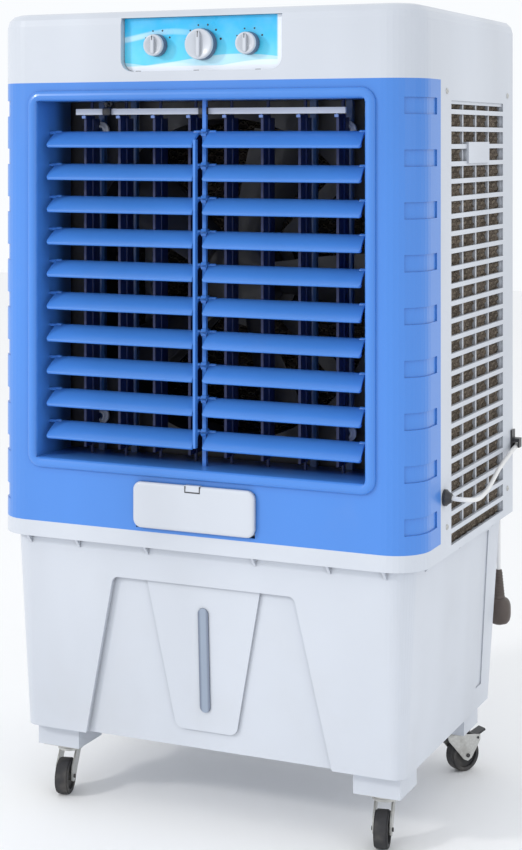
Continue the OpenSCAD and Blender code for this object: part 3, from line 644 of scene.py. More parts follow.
@dataclass
class Studio:
    """Camera, soft lights and the pale floor."""

    eye: Point = (1.1448, -2.5756, 1.017)
    heading: float = 24.08
    focal: float = 1766.0
    frame: tuple[int, int] = (522, 850)
    axis: tuple[float, float] = (261.0, 140.0)

    def camera(self) -> None:
        """Set a level camera whose frame is shifted down, so uprights stay upright."""
        data = bpy.data.cameras.new("camera")
        data.sensor_fit = "VERTICAL"
        data.sensor_height = 24.0
        data.lens = self.focal / self.frame[1] * data.sensor_height
        data.shift_x = (self.frame[0] / 2 - self.axis[0]) / self.frame[1]
        data.shift_y = -(self.frame[1] / 2 - self.axis[1]) / self.frame[1]
        data.clip_end = 60.0
        camera = bpy.data.objects.new("camera", data)
        camera.location = self.eye
        camera.rotation_euler = (math.radians(90.0), 0.0, math.radians(self.heading))
        bpy.context.scene.collection.objects.link(camera)
        bpy.context.scene.camera = camera

    def lamp(self, name: str, place: Point, size: float, power: float,
             colour: Colour = (1.0, 1.0, 1.0)) -> None:
        """Add a square soft box aimed at the middle of the cooler.

        Args:
            name: the lamp's name.
            place: where it stands.
            size: its side.
            power: watts.
            colour: tint.
        """
        data = bpy.data.lights.new(name, "AREA")
        data.shape = "SQUARE"
        data.size = size
        data.energy = power
        data.color = colour
        lamp = bpy.data.objects.new(name, data)
        lamp.location = place
        aim = Vector((0.0, 0.0, 0.6)) - Vector(place)
        lamp.rotation_euler = aim.to_track_quat("-Z", "Y").to_euler()
        bpy.context.scene.collection.objects.link(lamp)

    def light(self) -> None:
        """Light the set softly from the front left, with fill and an even surround."""
        world = bpy.data.worlds.new("surround")
        world.use_nodes = True
        background = world.node_tree.nodes["Background"]
        background.inputs["Color"].default_value = (0.96, 0.98, 1.0, 1.0)
        background.inputs["Strength"].default_value = 1.0
        scene = bpy.context.scene
        scene.world = world
        scene.view_settings.view_transform = "Standard"
        self.lamp("key", (-2.9, -3.2, 2.4), 0.5, 60.0, (1.0, 0.99, 0.97))
        self.lamp("fill", (3.2, -1.6, 1.9), 2.2, 8.0, (0.97, 0.98, 1.0))

    def floor(self) -> None:
        """Lay the floor."""
        bm = bmesh.new()
        bmesh.ops.create_grid(bm, x_segments=8, y_segments=8, size=9.0)
        floor = mesh_object("floor", bm)
        floor.data.materials.append(FloorPaper().make())


# ---------------------------------------------------------------- mains lead


@dataclass
class MainsLead:
    """The lead from its gland, round the rear corner, wound on the peg, and down to the plug."""

    front: float
    diameter: float = 0.007
    coil_radius: float = 0.040
    coil_centre: tuple[float, float] = (274.0, 571.0)
    first: list[Point] = field(default_factory=lambda: [
        (357, 116, 500), (369, 117, 499), (379, 123, 498), (386, 135, 497), (388, 152, 497), (387, 172, 498),
        (384, 196, 498), (380, 222, 499), (376, 248, 500), (372, 274, 502), (368, 300, 504), (364, 326, 506),
        (361, 352, 508), (358, 378, 510), (356, 402, 512), (354, 426, 515), (353, 448, 518), (352, 468, 520),
        (348, 482, 522), (338, 493, 525), (323, 497, 527), (303, 498, 528), (288, 498, 528)])
    tail: list[Point] = field(default_factory=lambda: [
        (313, 504, 548), (313, 504, 528), (313, 503, 508), (313, 502, 488), (313, 501, 468), (313, 500, 448),
        (313, 500, 428), (313, 500, 408), (313, 500, 388), (313, 500, 368), (313, 500, 348), (313, 500, 328),
        (313, 500, 308)])

    def place(self, point: Point) -> Vector:
        """Take a point in millimetres, its Y counted from the front face, into the part's frame."""
        return Vector((point[0] / 1000, point[1] / 1000 + self.front, point[2] / 1000))

    def coil(self) -> list[Vector]:
        """Return the wound turns: two outer ones, three inner ones across the peg, and out again to the tail.

        Each stage gives the turns done, the radius and the depth from the front face, in millimetres.
        """
        stages = [(0.0, 43.0, 498.0), (0.7, 43.0, 491.5), (1.3, 43.0, 491.5), (1.9, 36.5, 491.5),
                  (2.5, 36.5, 493.0), (3.0, 36.5, 498.5), (3.5, 36.5, 499.0), (4.0, 36.5, 504.5),
                  (4.3, 37.0, 504.5), (4.75, 39.0, 504.0)]
        per_turn = 28
        count = round(per_turn * stages[-1][0])
        points: list[Vector] = []
        for i in range(count + 1):
            done = i / count * stages[-1][0]
            angle = -math.pi / 2 - done * 2 * math.pi
            low, high = next((a, b) for a, b in zip(stages, stages[1:]) if done <= b[0] + 1e-9)
            t = (done - low[0]) / (high[0] - low[0])
            ease = t * t * (3 - 2 * t)
            radius = (low[1] + (high[1] - low[1]) * ease) / 1000
            depth = low[2] + (high[2] - low[2]) * ease
            middle = self.place((self.coil_centre[0], depth, self.coil_centre[1]))
            points.append(middle + Vector((radius * math.cos(angle), 0.0, radius * math.sin(angle))))
        return points

    def route(self) -> list[Vector]:
        """Return the whole route, gland to plug, in points a few millimetres apart."""
        raw = [self.place(p) for p in self.first] + self.coil() + [self.place(p) for p in self.tail]
        return smooth_route(raw, 0.006)

    def build(self, book: FinishBook) -> None:
        """Make the lead as one round cord with its tie, relief ribs and plug.

        Args:
            book: the finishes.
        """
        route = self.route()
        curve = bpy.data.curves.new("lead_cord", "CURVE")
        curve.dimensions = "3D"
        curve.bevel_depth = self.diameter / 2
        curve.bevel_resolution = 3
        curve.use_fill_caps = True
        spline = curve.splines.new("POLY")
        spline.points.add(len(route) - 1)
        for knot, point in zip(spline.points, route):
            knot.co = (*point, 1.0)
        spline.use_smooth = True
        cord = bpy.data.objects.new("lead_cord", curve)
        bpy.context.scene.collection.objects.link(cord)
        book.dress(cord, Finish.SHEATH)
        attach(cord, "cabinet")
        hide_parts("mains_lead", "lead_coil")
        length = sum((b - a).length for a, b in zip(route, route[1:]))
        log.info("lead: %.3f m", length)
        tie = self.tie(book)
        relief = self.relief(book)
        plug = self.plug(book)

    def plug(self, book: FinishBook) -> bpy.types.Object:
        """Build the rounded angled plug with its collar and its two round pins."""
        axis = self.place(self.tail[-1])
        bm = bmesh.new()
        lathe(bm, [(0.0, 0.0), (0.0048, 0.0), (0.0055, -0.001), (0.0096, -0.042), (0.0108, -0.045),
                   (0.0108, -0.049), (0.0, -0.049)], Matrix.Translation(axis), 40)
        sections = []
        for i in range(15):
            t = i / 14
            z = -0.044 - 0.047 * t
            swell = (1 - abs(2 * t - 1) ** 3.2) ** 0.45
            ring = []
            for k in range(40):
                a = 2 * math.pi * k / 40
                c, s = math.cos(a), math.sin(a)
                half_x = (0.0045 + 0.0155 * swell) * abs(c) ** 0.8 * math.copysign(1.0, c)
                half_y = (0.0040 + 0.0110 * swell) * abs(s) ** 0.8 * math.copysign(1.0, s)
                ring.append(axis + Vector((half_x, half_y, z)))
            sections.append(ring)
        loft(bm, sections)
        for y in (-0.0095, 0.0095):
            place = facing(Vector((-1.0, 0.0, 0.0)), axis + Vector((0.0, y, -0.068)))
            lathe(bm, [(0.0, 0.010), (0.0030, 0.010), (0.0030, 0.0195), (0.0024, 0.020), (0.0024, 0.0375),
                       (0.0016, 0.039), (0.0, 0.039)], place, 24)
        plug = mesh_object("plug_body", bm)
        book.dress(plug, Trim.PLUG)
        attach(plug, "cabinet")
        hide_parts("mains_plug")
        return plug

    def tie(self, book: FinishBook) -> bpy.types.Object:
        """Wrap the coil with a soft strap on its lower left."""
        bm = bmesh.new()
        angle = math.radians(200.0)
        centre = self.place((self.coil_centre[0], 497.5, self.coil_centre[1]))
        out = Vector((math.cos(angle), 0.0, math.sin(angle)))
        side = Vector((-math.sin(angle), 0.0, math.cos(angle)))
        middle = centre + out * self.coil_radius
        sections = []
        for across in (-0.006, -0.0055, 0.0055, 0.006):
            swell = 0.0 if abs(across) > 0.0056 else 0.0006
            ring = []
            for i in range(24):
                a = 2 * math.pi * i / 24
                ca, sa = math.cos(a), math.sin(a)
                flat = max(abs(ca) / 0.0085, abs(sa) / 0.0118) ** -1 * 0.7 + 0.3 * 0.0105
                ring.append(middle + side * across + (out * ca + Vector((0, 1, 0)) * sa) * (flat + swell))
            sections.append(ring)
        loft(bm, sections)
        strap = mesh_object("lead_tie", bm)
        book.dress(strap, Finish.BLACK)
        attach(strap, "cabinet")
        return strap

    def relief(self, book: FinishBook) -> bpy.types.Object:
        """Put the moulded ribs on the plug's strain relief."""
        bm = bmesh.new()
        top = self.place(self.tail[-1])
        for i in range(8):
            height = -0.006 - 0.0048 * i
            radius = 0.0054 + 0.0043 * (-height / 0.044)
            place = Matrix.Translation(top + Vector((0.0, 0.0, height)))
            lathe(bm, [(radius - 0.0006, -0.0012), (radius + 0.0007, -0.0007), (radius + 0.0007, 0.0007),
                       (radius - 0.0006, 0.0012), (radius - 0.0006, -0.0012)], place, 32)
        ribs = mesh_object("plug_ribs", bm)
        book.dress(ribs, Trim.PLUG)
        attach(ribs, "cabinet")
        return ribs


# ---------------------------------------------------------------- controls


@dataclass
class Knob:
    """One turning knob: a dished cap on a fluted band, a grip across it and a pointer line."""

    node: str
    body: str
    skirt: float = 0.019

    def build(self, book: FinishBook) -> None:
        """Build the knob over its CAD node.

        Args:
            book: the finishes.
        """
        low, high = (Vector(corner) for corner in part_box(self.node))
        radius = (high.x - low.x) / 2
        middle = (low + high) / 2
        place = facing(Vector((0.0, -1.0, 0.0)), Vector((middle.x, low.y + self.skirt, middle.z)))
        bm = bmesh.new()
        flutes = 40 if radius > 0.02 else 32

        def knurl(angle: float, height: float) -> float:
            """Return the radius factor of the fluted rim."""
            return 1.0 - 0.016 * (0.5 + 0.5 * math.cos(flutes * angle)) * (0.002 < height < 0.0105)

        r = radius
        f = r - 0.0010
        lathe(bm, [(0.0, 0.0105), (f - 0.001, 0.0105), (f, 0.0112), (f, 0.0142), (f - 0.0006, 0.0156),
                   (f - 0.002, 0.0164), (f - 0.0036, 0.0160), (f * 0.62, 0.0146), (f * 0.30, 0.0140),
                   (0.0, 0.0138)], place, 160)
        self.grip(bm, place, r)
        knob = mesh_object(self.node + "_cap", bm)
        soften(knob, 0.0003, 2, 50.0)
        book.dress(knob, Finish.WHITE)
        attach(knob, self.body)
        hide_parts(self.node)
        self.band(book, place, r, knurl)
        self.pointer(book, place, r)

    def band(self, book: FinishBook, place: Matrix, r: float, knurl: Callable[[float, float], float]) -> None:
        """Set the fluted band behind the white cap, coloured dark slate as painted shade on the knob's side.

        Args:
            book: the finishes.
            place: frame of the knob, its Z axis out of the panel.
            r: radius of the knob.
            knurl: radius factor of the flutes.
        """
        bm = bmesh.new()
        lathe(bm, [(0.0, 0.0), (r - 0.0010, 0.0), (r, 0.0008), (r, 0.0016), (r - 0.0003, 0.0030),
                   (r - 0.0006, 0.0100), (r - 0.0014, 0.0108), (0.0, 0.0108)], place, 160, knurl)
        band = mesh_object(self.node + "_band", bm)
        book.dress(band, Trim.SHADED_BAND)
        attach(band, self.body)

    def grip(self, bm: bmesh.types.BMesh, place: Matrix, r: float) -> None:
        """Add the raised bar that the fingers hold, waisted in the middle."""
        sections = []
        for height, grow in ((0.0130, 1.12), (0.0150, 1.0), (0.0170, 0.93), (0.0182, 0.86), (0.0188, 0.74)):
            ring = []
            for i in range(48):
                angle = 2 * math.pi * i / 48
                c, s = math.cos(angle), math.sin(angle)
                along = (r - 0.0028) * math.copysign(abs(s) ** 0.75, s)
                width = (0.0030 + 0.0016 * (abs(along) / r) ** 2) * math.copysign(abs(c) ** 0.6, c)
                ring.append(place @ Vector((width * grow, along * min(grow, 1.0), height)))
            sections.append(ring)
        loft(bm, sections)

    def pointer(self, book: FinishBook, place: Matrix, r: float) -> None:
        """Inlay a thin line on the upper end of the grip."""
        bm = bmesh.new()
        low, high = r * 0.42, r * 0.80
        up = 1.0 if (place.to_3x3() @ Vector((0.0, 1.0, 0.0))).z > 0 else -1.0
        outline = ((-0.0006, low), (0.0006, low), (0.0006, high), (-0.0006, high))
        sections = [[place @ Vector((x, y * up, z)) for x, y in outline] for z in (0.0184, 0.01895)]
        loft(bm, sections)
        line = mesh_object(self.node + "_pointer", bm, smooth=False)
        book.dress(line, Finish.BLACK)
        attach(line, self.body)


@dataclass
class ControlPanel:
    """The marks round the knobs on the label."""

    dot: float = 0.0011

    def build(self, book: FinishBook) -> None:
        """Print raised dots round each knob.

        Args:
            book: the finishes.
        """
        bm = bmesh.new()
        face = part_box("control_plate")[0][1]
        for node, count, spread in (("knob_cool", 4, 60.0), ("knob_speed", 6, 75.0), ("knob_swing", 4, 60.0)):
            low, high = (Vector(corner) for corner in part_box(node))
            centre = (low + high) / 2
            ring = (high.x - low.x) / 2 + 0.0062
            for i in range(count):
                angle = math.radians(90.0 + spread * (1 - 2 * i / (count - 1)))
                size = self.dot * (1.0 + 0.12 * i)
                place = facing(Vector((0.0, -1.0, 0.0)), Vector((centre.x + ring * math.cos(angle), face,
                                                                 centre.z + ring * math.sin(angle))))
                lathe(bm, [(0.0, -0.0005), (size, -0.0005), (size, 0.00018), (size * 0.7, 0.0003),
                           (0.0, 0.0003)], place, 20)
        dots = mesh_object("dial_dots", bm)
        book.dress(dots, Finish.BLACK)
        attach(dots, "cabinet")


@dataclass
class FillLid:
    """The filling lid: a crowned plate with rolled edges, and black strips painting the shade of a small
    finger notch on top.
    """

    corner: float = 0.0125
    drop: float = 0.0015

    def outline(self, low: Vector, high: Vector, inset: float) -> list[tuple[float, float]]:
        """Return the rounded rectangle in X and Z, drawn in by inset."""
        r = max(self.corner - inset, 0.003)
        points = []
        for sx, sz, start in ((1, 1, 0), (-1, 1, 90), (-1, -1, 180), (1, -1, 270)):
            cx = (high.x - inset - r) if sx > 0 else (low.x + inset + r)
            cz = (high.z - inset - r) if sz > 0 else (low.z + inset + r)
            for i in range(10):
                a = math.radians(start + 90 * i / 9)
                points.append((cx + r * math.cos(a), cz + r * math.sin(a)))
        return points

    def build(self, book: FinishBook) -> None:
        """Build the lid over its CAD node, whose barrels stay, and the notch's painted shade.

        Args:
            book: the finishes.
        """
        low, high = (Vector(corner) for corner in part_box("fill_flap"))
        face = low.y - 0.0004
        plate_low = Vector((-0.0985, 0.0, low.z - self.drop))
        plate_high = Vector((0.0985, 0.0, high.z - 0.0005))
        bm = bmesh.new()
        layers = [(0.0020, 0.0068), (0.0002, 0.0060), (0.0, 0.0045), (0.0004, 0.0026), (0.0014, 0.0012),
                  (0.0032, 0.0004), (0.0060, 0.0001), (0.0200, 0.0)]
        loft(bm, [[Vector((x, face + y, z)) for x, z in self.outline(plate_low, plate_high, inset)]
                  for inset, y in layers])
        lid = mesh_object("fill_lid", bm)
        book.dress(lid, Finish.WHITE)
        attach(lid, "fill_flap")
        # Painted shade: thin black strips set into the lid stand for the shaded edges of the finger notch.
        bm = bmesh.new()
        top = plate_high.z
        for x0, x1, z0, z1 in ((-0.0125, -0.0111, top - 0.0095, top - 0.0005), (0.0111, 0.0125, top - 0.0095,
                                                                            top - 0.0005),
                               (-0.0125, 0.0125, top - 0.0105, top - 0.0088)):
            loft(bm, [[Vector((x, face + y, z)) for x, z in ((x0, z0), (x1, z0), (x1, z1), (x0, z1))]
                      for y in (-0.0002, 0.0020)])
        notch = mesh_object("lid_notch_shade", bm, smooth=False)
        book.dress(notch, Finish.BLACK)
        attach(notch, "fill_flap")


@dataclass
class PanelSlots:
    """Three clip slots in the lower rim of the control recess, their shade painted by dark blocks."""

    places: tuple[float, ...] = (-0.094, 0.002, 0.101)

    def build(self, book: FinishBook) -> None:
        """Build the dark blocks that paint the slots' shade.

        Args:
            book: the finishes.
        """
        low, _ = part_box("control_plate")
        face = front_face()
        bm = bmesh.new()
        # Painted shade: a black block fills each slot.
        for x in self.places:
            loft(bm, [[Vector((x + dx, face + dy, low[2] + z)) for dx, dy in
                       ((-0.004, 0.0005), (0.004, 0.0005), (0.004, 0.0030), (-0.004, 0.0030))]
                      for z in (-0.0022, 0.0004)])
        slots = mesh_object("panel_slot_shade", bm, smooth=False)
        book.dress(slots, Finish.BLACK)
        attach(slots, "cabinet")


# ---------------------------------------------------------------- outlet


@dataclass
class LouvreRow:
    """The two arched blades of one row, with swept outer corners and a bright rolled lip."""

    row: int
    front: float
    tilt: float = 35.0
    pivot_y: float = 0.0365
    pivot_z: float = 1.028
    pitch: float = 0.0494
    inner: float = 0.008
    outer: float = 0.257
    slant: float = 0.004
    corner: float = 0.004
    chord: float = 0.0346

    def section(self, x: float, cut: float, lean: float = 0.0) -> list[Vector]:
        """Return the blade's section at x.

        Args:
            x: where along the blade.
            cut: how far its front is cut back.
            lean: how far its rear end leans inwards.

        Returns:
            The section's ring of points.
        """
        tilt = Matrix.Rotation(math.radians(self.tilt), 3, "X")
        centre = Vector((0.0, self.front + self.pivot_y, self.pivot_z - self.pitch * (self.row - 1)))
        back = -0.003
        tip = self.chord - cut
        top, under = [], []
        for i in range(11):
            t = i / 10
            u = back + (tip - back) * t
            rise = 0.0022 * (1 - (2 * (u - back) / (self.chord - back) - 1) ** 2)
            half = 0.0015 * min(1.0, 0.35 + 4 * t)
            top.append((u, rise + half))
            under.append((u, rise - half))
        lip = [(tip + 0.0009, 0.0009), (tip + 0.0011, -0.0012), (tip + 0.0008, -0.0028),
               (tip - 0.0004, -0.0031), (tip - 0.0012, -0.0026)]
        ring = top + lip + under[::-1]
        shift = math.copysign(lean, x)
        return [centre + tilt @ Vector((0.0, -u, w))
                + Vector((x - shift * (1 - (u - back) / (self.chord - back)), 0.0, 0.0)) for u, w in ring]

    def build(self, book: FinishBook) -> None:
        """Build the row's piece over its CAD node.

        Args:
            book: the finishes.
        """
        bm = bmesh.new()
        node = f"louvre_{self.row:02d}"
        for side in (-1, 1):
            stations = [(self.inner, 0.0015), (self.inner + 0.0012, 0.0)]
            stations += [(self.inner + 0.003 + i * 0.04, 0.0) for i in range(6)]
            rings = [self.section(side * x, cut) for x, cut in stations]
            for i in range(7):
                s = i / 6 * math.pi / 2
                x = self.outer - self.corner * (1 - math.sin(s))
                rings.append(self.section(side * x, self.corner * (1 - math.cos(s)), self.slant))
            loft(bm, rings)
            self.pins(bm, side)
        blades = mesh_object(node + "_blades", bm)
        edge = blades.modifiers.new("flat_normals", "WEIGHTED_NORMAL")
        edge.keep_sharp = True
        book.dress(blades, Finish.BLUE)
        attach(blades, node)
        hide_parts(node)

    def pins(self, bm: bmesh.types.BMesh, side: int) -> None:
        """Add the pivot pins, their collars and, on the left, the pin of the link."""
        centre = Vector((0.0, self.front + self.pivot_y, self.pivot_z - self.pitch * (self.row - 1)))
        place = facing(Vector((float(side), 0.0, 0.0)), centre)
        end = self.outer - self.slant
        lathe(bm, [(0.0, end - 0.008), (0.0034, end - 0.0075), (0.0034, end + 0.0015), (0.0025, end + 0.002),
                   (0.0025, 0.2702), (0.0, 0.2705)], place, 20)
        lathe(bm, [(0.0, 0.0006), (0.0025, 0.0008), (0.0025, 0.0075), (0.0034, 0.008), (0.0034, 0.018),
                   (0.0, 0.0185)], place, 20)
        if side < 0:
            tilt = Matrix.Rotation(math.radians(self.tilt), 3, "X")
            pin = centre + tilt @ Vector((0.0, -0.028, 0.0007))
            lathe(bm, [(0.0, 0.0032), (0.0015, 0.0034), (0.0015, 0.012), (0.0, 0.0122)],
                  facing(Vector((-1.0, 0.0, 0.0)), pin), 16)


@dataclass
class OutletTrim:
    """Small pieces in the outlet: white bushes on the posts, clips on the centre post, joiners on the rod."""

    front: float
    bush_x: float = 0.206
    bush_z: tuple[float, float] = (0.588, 1.032)
    bush_y: float = 0.0905
    joiners: tuple[tuple[float, float], ...] = ((-0.1665, 0.013), (-0.0035, 0.014))

    def build(self, book: FinishBook) -> None:
        """Build the bushes, the clips and the joiners.

        Args:
            book: the finishes.
        """
        self.bushes(book)
        self.clips(book)
        self.rod_joiners(book)

    def bushes(self, book: FinishBook) -> None:
        """Set four white flanged bushes with open bores."""
        bm = bmesh.new()
        for x in (-self.bush_x, self.bush_x):
            for z in self.bush_z:
                place = facing(Vector((0.0, -1.0, 0.0)), Vector((x, self.front + self.bush_y, z)))
                lathe(bm, [(0.0045, -0.004), (0.0125, -0.004), (0.0130, 0.0), (0.0130, 0.0018),
                           (0.0122, 0.0026), (0.0085, 0.0030), (0.0080, 0.0055), (0.0072, 0.0062),
                           (0.0052, 0.0060), (0.0045, 0.0050), (0.0045, -0.004)], place, 40)
        bushes = mesh_object("post_bushes", bm)
        book.dress(bushes, Finish.WHITE)
        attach(bushes, "cabinet")

    def clips(self, book: FinishBook) -> None:
        """Hook a small spring clip over the centre post's eye at each louvre row."""
        bm = bmesh.new()
        row = LouvreRow(1, self.front)
        for number in range(10):
            z = row.pivot_z - row.pitch * number
            for i in range(5):
                angle = math.radians(60.0 + 60.0 * i)
                centre = Vector((0.0, self.front + row.pivot_y - 0.0062 * math.sin(angle) - 0.001,
                                 z + 0.0062 * math.cos(angle)))
                place = Matrix.Translation(centre) @ Matrix.Rotation(angle, 4, "X")
                loft(bm, [[place @ Vector((x, y, h)) for x, y in ((-0.0042, -0.0022), (0.0042, -0.0022),
                                                                  (0.0042, 0.0022), (-0.0042, 0.0022))]
                          for h in (-0.0006, 0.0006)])
        clips = mesh_object("post_clips", bm, smooth=False)
        book.dress(clips, Finish.BLUE)
        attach(clips, "cabinet")

    def rod_joiners(self, book: FinishBook) -> None:
        """Sleeve the white rod where its lengths are joined."""
        low, high = (Vector(corner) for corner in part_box("vane_link"))
        bm = bmesh.new()
        tall = 0.0052
        middle = Vector((0.0, low.y + 0.0045, (low.z + high.z) / 2))
        for x, width in self.joiners:
            sections = []
            for along, grow in ((-0.5, 0.86), (-0.42, 1.0), (0.42, 1.0), (0.5, 0.86)):
                ring = []
                for k in range(24):
                    a = 2 * math.pi * k / 24
                    c, sn = math.cos(a), math.sin(a)
                    ring.append(middle + Vector((x + along * width,
                                                 math.copysign(abs(c) ** 0.4, c) * 0.0058 * grow,
                                                 math.copysign(abs(sn) ** 0.4, sn) * (tall + 0.0012) * grow)))
                sections.append(ring)
            loft(bm, sections)
        joiners = mesh_object("rod_joiners", bm)
        book.dress(joiners, Finish.BLACK)
        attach(joiners, "vane_link")


@dataclass
class FanBlades:
    """Moulded axial fan: a cupped hub on its shaft and five twisted blades."""

    blades: int = 5
    axis_z: float = 0.805
    root: float = 0.058
    tip: float = 0.233
    root_angle: float = 42.0
    tip_angle: float = 24.0

    def build(self, book: FinishBook) -> None:
        """Build the impeller over its CAD node.

        Args:
            book: the finishes.
        """
        low, _ = (Vector(corner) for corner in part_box("fan_impeller"))
        centre = Vector((0.0, low.y + 0.025, self.axis_z))
        place = facing(Vector((0.0, -1.0, 0.0)), centre)
        bm = bmesh.new()
        lathe(bm, [(0.0, 0.025), (0.030, 0.0246), (0.050, 0.022), (0.059, 0.015), (0.062, 0.004),
                   (0.062, -0.025), (0.057, -0.025), (0.057, 0.010), (0.0, 0.019)], place, 64)
        lathe(bm, [(0.0, 0.02), (0.014, 0.018), (0.014, -0.024), (0.008, -0.025), (0.008, -0.066),
                   (0.0, -0.067)], place, 32)
        for number in range(self.blades):
            turn = Matrix.Rotation(2 * math.pi * number / self.blades, 4, "Z")
            sections = []
            for i in range(9):
                t = i / 8
                radius = self.root + (self.tip - self.root) * t
                angle = math.radians(self.root_angle + (self.tip_angle - self.root_angle) * t)
                half = 0.034 + 0.020 * t - 0.006 * t ** 4
                ring = []
                for side in (1, -1):
                    for k in range(9):
                        s = (k / 8 * 2 - 1) * side
                        camber = 0.006 * (1 - s * s)
                        thick = 0.0014 * (1 - 0.6 * s * s) * side
                        along, lift = s * half, camber + thick
                        spot = Vector((radius, along * math.cos(angle) - lift * math.sin(angle),
                                       along * math.sin(angle) + lift * math.cos(angle) - 0.002))
                        bend = spot.y / radius
                        bent = Vector((radius * math.cos(bend), radius * math.sin(bend), spot.z))
                        ring.append(place @ turn @ bent)
                sections.append(ring)
            loft(bm, sections)
        fan = mesh_object("fan_blades", bm)
        soften(fan, 0.0005, 1, 60.0)
        book.dress(fan, Finish.BLACK)
        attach(fan, "fan_impeller")
        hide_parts("fan_impeller")


@dataclass
class PadFaces:
    """Corrugated outer faces of the three cellulose pads, just behind the grilles."""

    proud: float = 0.0035
    layer: float = 0.0135
    wave: float = 0.030
    cell: float = 0.0045

    def height(self, along: float, z: float) -> float:
        """Return how far the face stands out at a place, from 0 in a flute to 1 on a sheet's edge."""
        sway = math.sin(along * 2 * math.pi / self.wave) * 1.35
        one = abs(math.sin(z * math.pi / self.layer + sway))
        two = abs(math.sin(z * math.pi / self.layer - sway + 1.57))
        return 1.0 - min(one * two * 2.2, 1.0)

    def face(self, bm: bmesh.types.BMesh, corner: Vector, along: Vector, out: Vector, tall: float) -> None:
        """Add one closed slab whose outer side is corrugated.

        Args:
            bm: mesh to add to.
            corner: lower rear corner of the pad's outer side.
            along: its level direction and length.
            out: its outward normal.
            tall: its height.
        """
        columns = round(along.length / self.cell)
        rows = round(tall / self.cell)
        front: list[list[bmesh.types.BMVert]] = []
        for j in range(rows + 1):
            line = []
            for i in range(columns + 1):
                base = corner + along * (i / columns) + Vector((0.0, 0.0, tall * j / rows))
                lift = self.proud - 0.0042 * (1 - self.height(base.x + base.y, base.z))
                line.append(bm.verts.new(base + out * lift))
            front.append(line)
        for low, high in zip(front, front[1:]):
            for a, b, c, d in zip(low, low[1:], high[1:], high):
                bm.faces.new((a, b, c, d))
        rim = front[0] + [line[-1] for line in front[1:]]
        rim += front[-1][-2::-1] + [line[0] for line in front[-2:0:-1]]
        back = [bm.verts.new(v.co - out * ((v.co - corner).dot(out) + 0.030)) for v in rim]
        for i, vert in enumerate(rim):
            j = (i + 1) % len(rim)
            bm.faces.new((rim[j], vert, back[i], back[j]))
        bm.faces.new(back)

    def build(self, book: FinishBook) -> None:
        """Build the three pads over their CAD node.

        Args:
            book: the finishes.
        """
        low, high = (Vector(corner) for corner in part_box("cooling_pads"))
        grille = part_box("side_grilles")
        bm = bmesh.new()
        tall = high.z - low.z
        y0, y1 = grille[0][1] - 0.009, grille[1][1] + 0.009
        for side, x in ((-1.0, low.x), (1.0, high.x)):
            self.face(bm, Vector((x, y0, low.z)), Vector((0.0, y1 - y0, 0.0)),
                      Vector((side, 0.0, 0.0)), tall)
        self.face(bm, Vector((-0.302, high.y, low.z)), Vector((0.604, 0.0, 0.0)),
                  Vector((0.0, 1.0, 0.0)), tall)
        pads = mesh_object("pad_flutes", bm)
        book.dress(pads, Finish.PAD)
        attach(pads, "cabinet")
        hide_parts("cooling_pads")


# ---------------------------------------------------------------- small fasteners


@dataclass
class CaseScrews:
    """Cross-head screws that hold the case together."""

    front: float
    radius: float = 0.0042

    def head(self, bm: bmesh.types.BMesh, normal: Vector, centre: Vector) -> None:
        """Add one domed head with its cross."""
        place = facing(normal, centre)
        r = self.radius
        lathe(bm, [(0.0, -0.001), (r, -0.001), (r, 0.0006), (r * 0.85, 0.0014), (r * 0.5, 0.0019),
                   (0.0, 0.0021)], place, 24)
        for turn in (0.0, math.pi / 2):
            spin = place @ Matrix.Rotation(turn, 4, "Z")
            corners = ((-1, -1), (1, -1), (1, 1), (-1, 1))
            loft(bm, [[spin @ Vector((x * r * 0.5, y * 0.0005, z)) for x, y in corners]
                      for z in (0.0012, 0.0023)])

    def build(self, book: FinishBook) -> None:
        """Set the screws along the side posts and the rear wall.

        Args:
            book: the finishes.
        """
        low, high = (Vector(corner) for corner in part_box("body_shell"))
        bm = bmesh.new()
        for side, x in ((-1.0, low.x), (1.0, high.x)):
            for z in (0.455, 1.088):
                for y in (0.128, 0.440):
                    self.head(bm, Vector((side, 0.0, 0.0)), Vector((x, self.front + y, z)))
        for x in (-0.300, -0.100, 0.100, 0.300):
            for z in (0.442, 1.090):
                if z > 1.0 or abs(x) > 0.2:
                    self.head(bm, Vector((0.0, 1.0, 0.0)), Vector((x, high.y, z)))
        screws = mesh_object("case_screws", bm)
        book.dress(screws, Finish.ZINC)
        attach(screws, "cabinet")


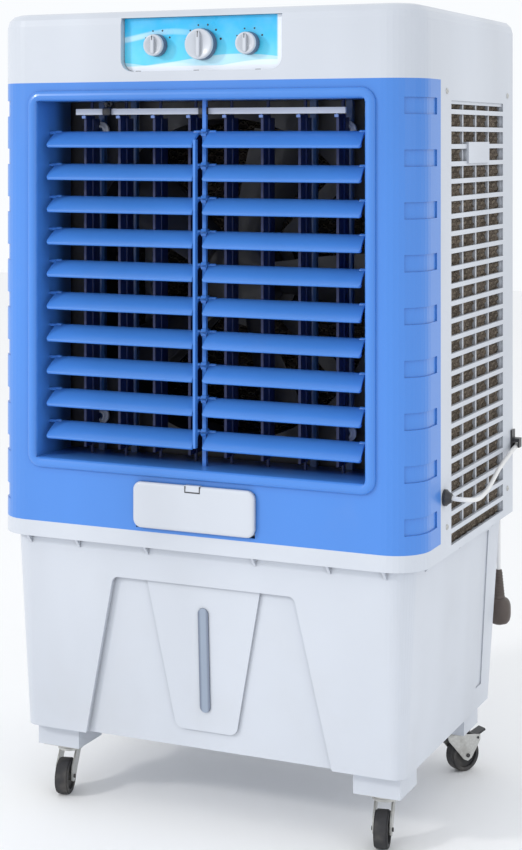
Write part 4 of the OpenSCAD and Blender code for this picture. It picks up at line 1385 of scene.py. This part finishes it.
@dataclass
class FrameEdges:
    """Edge rounding of the CAD nodes, by the sort of piece."""

    widths: dict[str, float] = field(default_factory=lambda: {
        "top_cap": 0.0010, "front_frame": 0.0010, "body_shell": 0.0008, "water_tank": 0.0014,
        "side_grilles": 0.0010, "rear_grille": 0.0010, "fill_flap": 0.0012, "control_plate": 0.0004,
        "mains_plug": 0.0020, "cord_hook": 0.0012, "cable_gland": 0.0008, "vane": 0.0004,
        "caster_fork": 0.0006,
        "caster_wheel": 0.0010, "brake_pedal": 0.0010, "caster_plates": 0.0006, "fan_shroud": 0.0010,
        "fan_motor": 0.0012, "water_pump": 0.0015, "valve_float": 0.003, "inlet_valve": 0.0008,
        "drain_plug": 0.0010, "level_gauge": 0.0008, "louvre_link": 0.0005, "vane_link": 0.0005,
        "swing": 0.0005, "water_distributor": 0.0005, "level_float": 0.0008})

    def build(self) -> None:
        """Round the edges of every CAD node that stays in sight."""
        for node in FRAME["nodes"]:
            width = next((w for key, w in self.widths.items() if node.startswith(key)), None)
            obj = bpy.data.objects.get(node)
            if width is None or obj is None:
                continue
            soften(obj, width)


with open("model.json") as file:
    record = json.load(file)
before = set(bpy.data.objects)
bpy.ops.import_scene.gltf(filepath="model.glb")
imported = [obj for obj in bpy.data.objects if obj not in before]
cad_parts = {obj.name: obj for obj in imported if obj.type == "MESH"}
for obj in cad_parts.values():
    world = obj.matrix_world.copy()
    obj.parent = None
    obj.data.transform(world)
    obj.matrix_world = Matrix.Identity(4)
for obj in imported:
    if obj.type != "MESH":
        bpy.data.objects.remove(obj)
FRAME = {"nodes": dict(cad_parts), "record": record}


def main() -> None:
    """Build the whole set in order."""
    logging.basicConfig(level=logging.INFO, format="%(message)s")
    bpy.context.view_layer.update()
    front = front_face()
    book = FinishBook()
    studio = Studio()
    studio.camera()
    MainsLead(front).build(book)
    studio.light()
    studio.floor()
    book.dress_frame()
    log.info("frame dressed")
    for name in ("knob_cool", "knob_speed", "knob_swing"):
        Knob(name, name).build(book)
    ControlPanel().build(book)
    for row in range(1, 11):
        LouvreRow(row, front).build(book)
    OutletTrim(front).build(book)
    FanBlades().build(book)
    PadFaces().build(book)
    FillLid().build(book)
    PanelSlots().build(book)
    CaseScrews(front).build(book)
    FrameEdges().build()
    log.info("pieces built")


if __name__ == "__main__":
    main()
